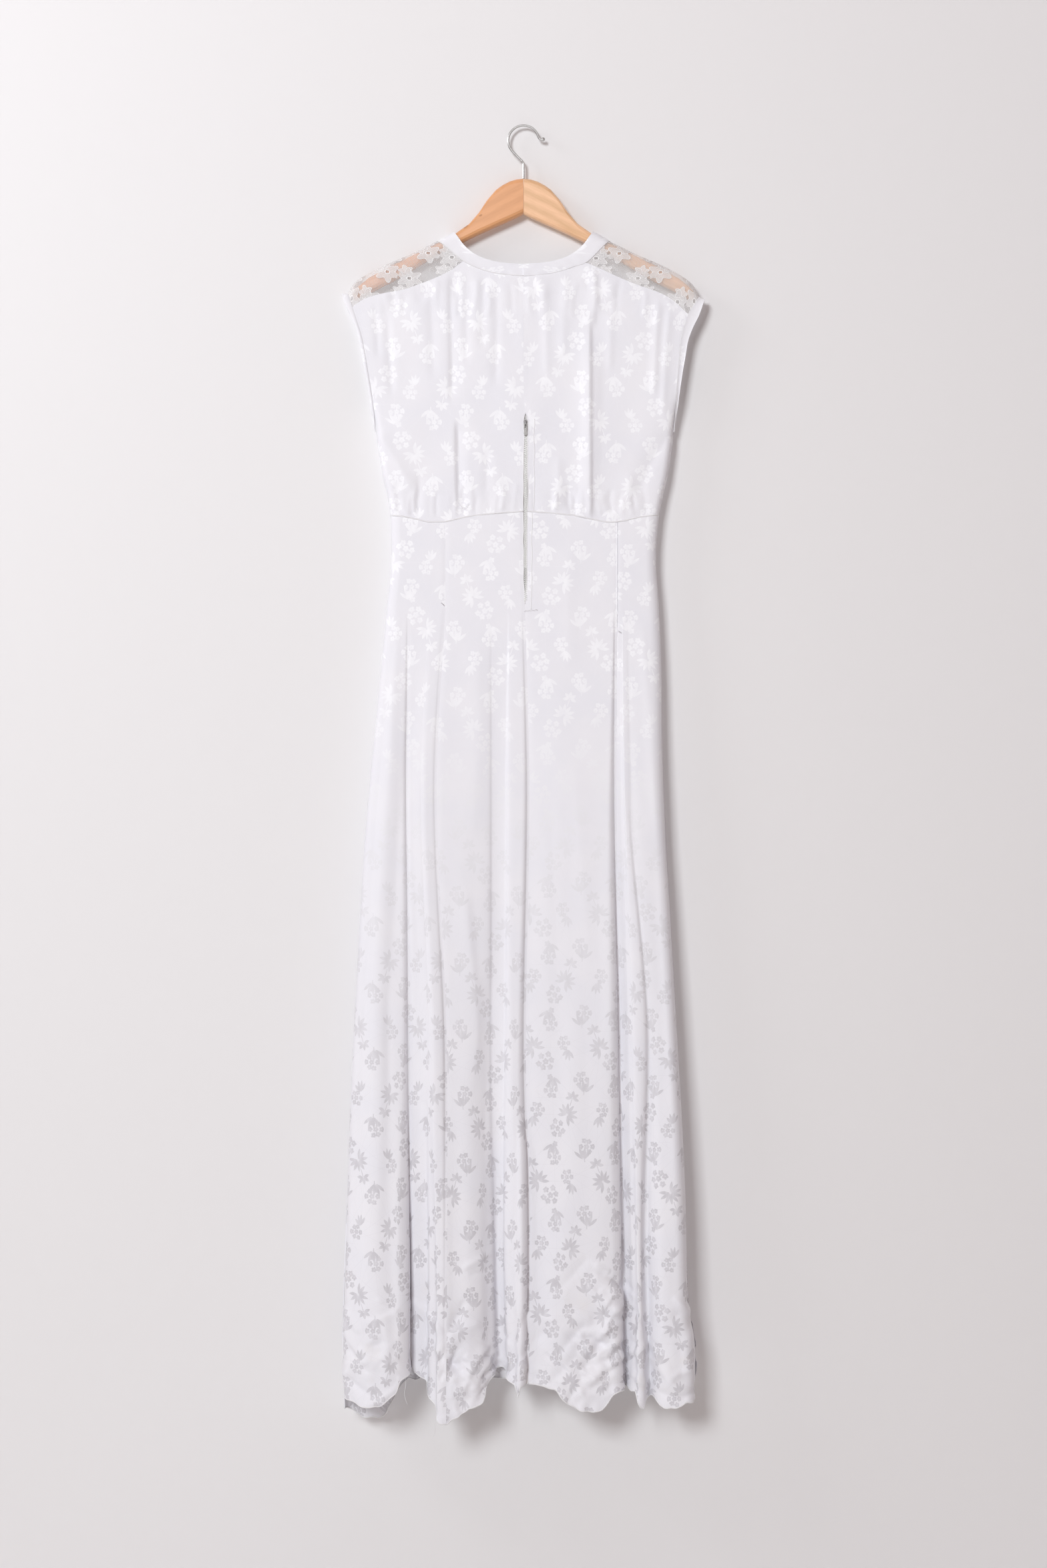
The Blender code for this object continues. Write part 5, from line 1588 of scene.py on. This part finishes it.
def make_wood(name, light, dark, tilt, seed, streaked, knots=()):
    """Lacquered wood: streaks along a slanting grain, and knots of (x, z, radius) in mm."""
    material, tree, shader = new_material(name)
    x, y, z = surface_fields(tree, "Object")
    run, rise = turned(x, z, tilt)
    bend = noise(tree, 9.0, 2.0, kind="Object")
    rings = (rise * GRAIN_SCALE + bend * 9.0 + run * 6.0 + seed).math("SINE") * 0.5 + 0.5
    place = tree.nodes.new("ShaderNodeCombineXYZ")
    set_inputs(place, {"X": run * GRAIN_STRETCH, "Y": y, "Z": rise + seed})
    streak = tree.nodes.new("ShaderNodeTexNoise")
    set_inputs(streak, {"Vector": Field(tree, place.outputs[0]), "Scale": GRAIN_SCALE, "Detail": 4.0})
    fine = Field(tree, streak.outputs[0])
    share = ((rings * 0.45 + fine * 0.75 - 0.1) * streaked).math("MAXIMUM", 0.0)
    for knot_x, knot_z, radius in knots:
        off_x, off_z = turned(x - knot_x * MM, z - knot_z * MM, tilt)
        reach = (off_x * off_x * 0.3 + off_z * off_z).math("SQRT")
        share = share.joined(reach.step(radius * MM, radius * 0.3 * MM) * 1.6)
    colour = colour_between(tree, light, dark, share)
    set_inputs(shader, {"Base Color": colour, "Roughness": 0.38, "Coat Weight": 0.35,
                        "Coat Roughness": 0.25})
    bumped(tree, fine, 0.08 * MM, shader)
    return material


def make_metal(name, colour, roughness, scratch):
    """Metal with fine streaks in its roughness and a trace of unevenness."""
    material, tree, shader = new_material(name)
    streaks = noise(tree, scratch, 4.0, (1.0, 1.0, 0.15), "Object")
    tint = colour_between(tree, colour, tuple(0.7 * c for c in colour), streaks.step(0.4, 0.8))
    set_inputs(shader, {"Metallic": 1.0, "Base Color": tint, "Roughness": streaks * 0.2 + roughness})
    bumped(tree, streaks, 0.03 * MM, shader)
    return material


wood_left = make_wood("wood_left", (0.80, 0.40, 0.19), (0.50, 0.22, 0.08), 27.0, 0.0, 0.5,
                      ((-54.4, -114.8, 1.6), (-74.0, -128.3, 3.2)))
wood_right = make_wood("wood_right", (0.96, 0.60, 0.37), (0.62, 0.36, 0.17), -27.0, 3.0, 0.85)
hook_steel = make_metal("hook_steel", (0.62, 0.62, 0.61), 0.2, 700.0)
zip_metal = make_metal("zip_metal", (0.26, 0.25, 0.25), 0.38, 900.0)
pull_metal = make_metal("zip_pull_metal", (0.31, 0.30, 0.29), 0.3, 900.0)
teeth_metal = make_metal("zip_teeth_metal", (0.68, 0.68, 0.66), 0.3, 900.0)
print("materials:", len(bpy.data.materials))

# %% [markdown]
# Cutting the skirt
#
# Each panel of the back is its own piece, as it was cut and sewn. The flowers stand upright
# in the side panels and upside down in the middle ones, because the cutter turned the cloth
# to save some of it.

# %% Skirt shells
# Each panel: grain line as a share of its width, upside down, shift of the flowers in mm,
# which of its sides are sewn to another panel of the back, and its column beside the zip
PANELS = {
    "skirt_back_left_side": (0.4, False, (12, -1460), (1,), None),
    "skirt_back_centre_left": (0.5, True, (22, 1500), (-1, 1), -1),
    "skirt_back_centre_right": (0.5, True, (-14, 1434), (-1, 1), 0),
    "skirt_back_right_side": (0.6, False, (30, -1420), (-1,), None),
}
HEM_CURL = 14.0 * MM
HEM_ROLL = 1.0 * MM
PLACKET_ROLL = 0.8 * MM
STITCH_INSET, STITCH_RADIUS = 7.5 * MM, 0.6 * MM
SINK_DEPTH = 0.3 * MM
SINK_WIDTH = 3.0 * MM
CALM_WIDTH = 8 * MM
# How far the hem turns out, in mm
HEM_TURN = 0.9
# Each unevenness: length of its waves across and down in metres, and its height,
# which is in mm for the two of the hem
HEM_WAVE = (22 * MM, 300 * MM, 1.3)
HEM_JAG = (15 * MM, 1.0, 1.1)
SKIRT_RIPPLE = (60 * MM, 700 * MM, 0.9 * MM)
LOW_RIPPLE = (26 * MM, 240 * MM, 0.45 * MM)


def hem_finish(grid, seed):
    """The hem's last stretch: it waves in and out, and its edge turns towards the viewer.

    The share of the curl is one at the edge and zero a curl's height above it.
    """
    x, z = grid[..., 0], grid[..., 2]
    curl = 1 - ease(z - z[-1:], 0.0, HEM_CURL)
    wave = ripples(x, z * 0.2, seed, *HEM_WAVE[:2], 5)
    grid = pushed(grid, curl * (HEM_TURN + HEM_WAVE[2] * wave) * MM)
    grid[..., 2] += curl * ripples(x, z * 0.0, seed + 1, *HEM_JAG[:2], 5) * HEM_JAG[2] * MM
    return grid


def seam_distance(grid, sides):
    """Distance along the cloth to the nearer of the panel's sewn sides, of -1 and 1."""
    run = path_length(grid, 1)
    ends = {-1: run, 1: run[:, -1:] - run}
    return np.minimum.reduce([ends[side] for side in sides] + [np.full(run.shape, 1.0)])


def seam_sink(grid, sides):
    """Cloth is drawn in along a seam: a bell curve of the distance to it."""
    return SINK_DEPTH * np.exp(-((seam_distance(grid, sides) / SINK_WIDTH) ** 2))


def skirt_surface(coarse, creases, seed, sides=()):
    """A skirt panel in full detail, and the smooth one that its map is made from.

    It is refined, creased and slightly uneven, more so lower down, calm beside its seams,
    and has its hem.
    """
    grid = refined(coarse, FINE_STEP)
    x, z = grid[..., 0], grid[..., 2]
    lift = crease_lift(creases, x, z)
    lift += ripples(x, z, seed, *SKIRT_RIPPLE[:2]) * ease(z, PLEATS_OPEN, KNEE) * SKIRT_RIPPLE[2]
    lift += ripples(x, z, seed + 5, *LOW_RIPPLE[:2]) * ease(z, CALF, HEM) * LOW_RIPPLE[2]
    calm = ease(seam_distance(grid, sides), 0.0, CALM_WIDTH)
    return hem_finish(pushed(grid, lift * calm - seam_sink(grid, sides)), seed), grid


def placket_path(line, low, high, seed):
    """The folded edge beside the zip: a stretch of the cloth's edge, a little uneven."""
    line = line[(line[:, 2] > low) & (line[:, 2] < high)]
    line[:, 0] += ripples(line[:, 0] * 0, line[:, 2], seed, 1.0, 40 * MM, 4) * 0.5 * MM
    return line


def stitched_line(surface, row, low, high):
    """The line of stitches beside the zip: the cloth's points a fixed way in from its edge."""
    inset = surface[row, :, 0] - surface[row, 0, 0]
    line = surface[:, np.argmin(np.abs(inset - STITCH_INSET))] - (0, 0.2 * MM, 0)
    return placket_path(line, low, high, 70)


skirt_creases = list(SKIRT_CREASES + HEM_FOLDS) + HEM_CRUMPLES
for number, (panel, columns) in enumerate(zip(PANELS, split_at_seams(skirt_columns()))):
    grain, upside_down, shift, sides, edge = PANELS[panel]
    surface, flat = skirt_surface(back_skirt_grid(columns), skirt_creases, 20 + number, sides)
    trims = [tube_object(panel + "_hem", [surface[-1]], HEM_ROLL)]
    if edge is not None:
        fold = placket_path(surface[:, edge].copy(), ZIP_END + 2 * MM, 0.0, 80 + number)
        trims.append(tube_object(panel + "_placket", [fold], PLACKET_ROLL))
    if edge == 0:
        line = stitched_line(surface, 8, ZIP_END - 4 * MM, 0.0)
        trims.append(tube_object(panel + "_stitching", [line], STITCH_RADIUS))
    cloth_piece(panel, surface, flat_map(flat, grain, upside_down, shift))

# %% Front of the skirt
FRONT_CREASE_SHARE, FRONT_CREASES_LOWER = 0.8, 7
front_creases = mirrored(skirt_creases, FRONT_CREASE_SHARE, FRONT_CREASES_LOWER)
surface, flat = skirt_surface(front_skirt_grid(), front_creases, 40)
trims = [tube_object("skirt_front_hem", [surface[-1]], HEM_ROLL)]
cloth_piece("skirt_front", surface, flat_map(flat))

# %% [markdown]
# Cutting the bodice
#
# The bodice hangs from the lace and is gathered a little into the seams above and below,
# so short soft pleats run down from the neck and up from the waist. On the right a fold
# was pressed in from the bust to the waist.

# %% Bodice shells
GATHERS = scattered_creases(31, 46, (-165, 165, -486, -474), (18, 46), (82, 90), (0.3, 0.8), (2, 5))
TOP_GATHERS = scattered_creases(32, 30, (-190, 190, -232, -196), (20, 60), (80, 90), (0.3, 0.7), (2.5, 6))
bodice_creases = list(BODICE_CREASES) + GATHERS + TOP_GATHERS
BODICE_STEP = 2.4 * MM
BODICE_CREASING = 1.3
BODICE_RIPPLE = (50 * MM, 200 * MM, 0.35 * MM)
# How much of a crease is left beside an edge, and beside the waist seam
EDGE_SHARE, WAIST_SHARE = 0.25, 0.5
PIPING = 0.95 * MM
PIPING_OUT = (0, 0.35 * MM, 0)


def bodice_surface(coarse, creases, seed):
    """A bodice piece in full detail: refined, creased and a little uneven."""
    grid = refined(coarse, BODICE_STEP)
    x, z = grid[..., 0], grid[..., 2]
    lift = crease_lift(creases, x, z) * BODICE_CREASING
    lift += ripples(x, z, seed, *BODICE_RIPPLE[:2]) * BODICE_RIPPLE[2]
    inside = np.ones(grid.shape[:2])
    inside[:, :2] = inside[:, -2:] = inside[:2] = EDGE_SHARE
    inside[-2:] = WAIST_SHARE
    return pushed(grid, lift * inside), grid


for word, sign, shift in (("left", -1, (4, 250)), ("right", 1, (10, 292))):
    surface, flat = bodice_surface(back_bodice_grid(sign), bodice_creases, 50 + sign)
    fold = placket_path(surface[:, 0].copy(), -1.0, ZIP_TOP - 4 * MM, 90 + sign)
    trims = [
        tube_object(f"waist_piping_back_{word}", [surface[-1] - PIPING_OUT], PIPING),
        tube_object(f"bodice_placket_{word}", [fold], PLACKET_ROLL),
    ]
    if sign > 0:
        line = stitched_line(surface, -8, -1.0, ZIP_TOP - 8 * MM)
        trims.append(tube_object("bodice_stitching_right", [line], STITCH_RADIUS))
    cloth_piece(f"bodice_back_{word}", surface, flat_map(flat, 0.3, False, shift))
surface, flat = bodice_surface(front_bodice_grid(), mirrored(bodice_creases), 60)
trims = [tube_object("waist_piping_front", [surface[-1] + PIPING_OUT], PIPING)]
cloth_piece("bodice_front", surface, flat_map(flat))

# %% [markdown]
# Bands and lace
#
# The bands are narrow strips turned over the edges. Along a strip the map simply follows
# the band, so the weave runs with it, as it does on a strip cut along the cloth.


# %% Neckband, armhole bands and lace yokes
def strip_map(grid):
    """A map for a strip: the mean distance across it, and the distance along from its middle."""
    down = path_length(grid, 0)
    down -= down[len(down) // 2]
    across = path_length(grid, 1).mean(axis=0)
    return np.stack([np.broadcast_to(across, down.shape), down], axis=-1)


def band_profile(grid, bulge):
    """A band turned over an edge: its middle stands out and its two edges lie low.

    The lift is the bulge times the root of four times the share across times its rest.
    """
    share = np.linspace(0, 1, grid.shape[1])
    return pushed(grid, np.broadcast_to(bulge * (4 * share * (1 - share)) ** 0.5, grid.shape[:2]))


# Each band: step of its grid, how far its middle bulges, radius of its seam line, and wall
NECK_STEP, NECK_BULGE, NECK_SEAM, NECK_WALL = 2.0 * MM, 0.5 * MM, 0.8 * MM, 1.4 * MM
ARM_STEP, ARM_BULGE, ARM_SEAM, ARM_WALL = 1.5 * MM, 0.6 * MM, 0.5 * MM, 1.0 * MM
NECK_WAVE, NECK_UNEVEN = 20 * MM, 0.2 * MM
YOKE_STEP, YOKE_WALL = 2.0 * MM, 0.35 * MM
for word, sign in (("left", -1), ("right", 1)):
    grid = refined(neckband_grid(sign), NECK_STEP)
    uneven = ripples(grid[..., 0], grid[..., 2], 70 + sign, NECK_WAVE, NECK_WAVE) * NECK_UNEVEN
    band = band_profile(pushed(grid, uneven), NECK_BULGE)
    trims = [tube_object(f"neckband_{word}_seam", [band[:, 0]], NECK_SEAM)]
    cloth_piece(f"neckband_{word}", band, strip_map(grid), NECK_WALL)
    grid = refined(armband_grid(sign), ARM_STEP)
    band = band_profile(grid, ARM_BULGE)
    trims = [tube_object(f"armhole_band_{word}_seam", [band[:, 0]], ARM_SEAM)]
    cloth_piece(f"armhole_band_{word}", band, strip_map(grid), ARM_WALL)
    grid = refined(np.swapaxes(yoke_grid(sign), 0, 1), YOKE_STEP)
    cloth_piece(f"lace_yoke_{word}", grid, strip_map(grid), YOKE_WALL, "net")

# %% [markdown]
# Sewing
#
# What a sewing machine and years of wear add is far too fine for a solid: metal teeth that
# lock by turns from the left and the right, bars of close stitches at the ends of the zip
# and of a repair, and threads that have worked loose and hang down.


# %% Zip teeth
TOOTH_PITCH = 1.35 * MM
TOOTH_SIZE = (2.5 * MM, 0.9 * MM, 0.85 * MM)
TEETH_TOP, TEETH_END = -386.0 * MM, -606.0 * MM
TEETH_Y = -10.75 * MM
TOOTH_LEAN = 0.8


def boxes_object(name, middles, size, material):
    """One mesh of equal boxes round the given middles: eight corners and six sides each."""
    corner = np.array([(x, y, z) for x in (-0.5, 0.5) for y in (-0.5, 0.5) for z in (-0.5, 0.5)])
    points = middles[:, None] + corner * size
    sides = np.array([(0, 1, 3, 2), (4, 6, 7, 5), (0, 4, 5, 1), (2, 3, 7, 6), (0, 2, 6, 4), (1, 5, 7, 3)])
    faces = (np.arange(len(middles))[:, None, None] * 8 + sides).reshape(-1, 4)
    thing = new_object(name, points.reshape(-1, 3), faces, material)
    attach(thing, DRESS)
    return thing


level = np.arange(TEETH_TOP, TEETH_END, -TOOTH_PITCH)
lean = np.where(np.arange(len(level)) % 2, TOOTH_LEAN, -TOOTH_LEAN) * MM
middles = np.stack([centre_line(level) + lean, np.full(len(level), TEETH_Y), level], axis=1)
teeth = boxes_object("zip_teeth", middles, TOOTH_SIZE, teeth_metal)
print("teeth:", len(level))

# %% Stitches and loose threads
# Each row: points as x, distance in front of the plane y = 0, and z, all in mm
LOOSE_THREADS = (
    ((-150.4, 33, -1576), (-148, 34, -1592), (-150, 33, -1604), (-146, 34, -1618)),
    ((-112, 40, -1640), (-111, 42, -1650), (-113, 41, -1656)),
    ((-80, 12.5, -484), (-77, 14, -487), (-73, 12.5, -486), (-70, 13, -482)),
    ((171, 24, -1616), (172, 26, -1622), (175, 25, -1626)),
    ((-120, 9, -203), (-117, 10, -208), (-113, 9, -206)),
)
# Each bar of stitches: where it starts and ends, as x and z in mm, and how far in front
BAR_TACKS = (
    ((0.5, -617.5), (17.5, -616), 12.6),
    ((-104.5, -607), (-100.5, -610.5), 12.6),
    ((120, -643), (123.5, -645), 13.2),
)
THREAD_RADIUS, THREAD_SIDES, THREAD_POINTS = 0.28 * MM, 5, 14
TACK_POINTS, TACK_HALF = 9, 0.7
paths = []
for row in LOOSE_THREADS:
    line = np.array(row, float) * (MM, -MM, MM)
    paths.append(along(line, np.linspace(0, 1, THREAD_POINTS)))
run = np.linspace(0, 1, TACK_POINTS)
zigzag = np.where(np.arange(TACK_POINTS) % 2, TACK_HALF, -TACK_HALF)
for start, end, front in BAR_TACKS:
    paths.append(np.stack([start[0] + (end[0] - start[0]) * run, np.full(TACK_POINTS, -front),
                           start[1] + (end[1] - start[1]) * run + zigzag], axis=1) * MM)
threads = tube_object("stitches_and_threads", paths, THREAD_RADIUS, THREAD_SIDES)
print("threads and bars:", len(paths))

# %% [markdown]
# Hard parts
#
# The hanger, its hook and the zip are rigid, and their solids already have their true
# shape. They keep those solids and only get their materials.

# %% Hanger, hook and zip keep their solids
for node, material in (("hanger_arm_left", wood_left), ("hanger_arm_right", wood_right),
                       ("hanger_hook", hook_steel), ("zip_tape", tape_painted_shade),
                       ("zip_slider", zip_metal), ("zip_pull", pull_metal)):
    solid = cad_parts[node]
    solid.data.materials.clear()
    solid.data.materials.append(material)
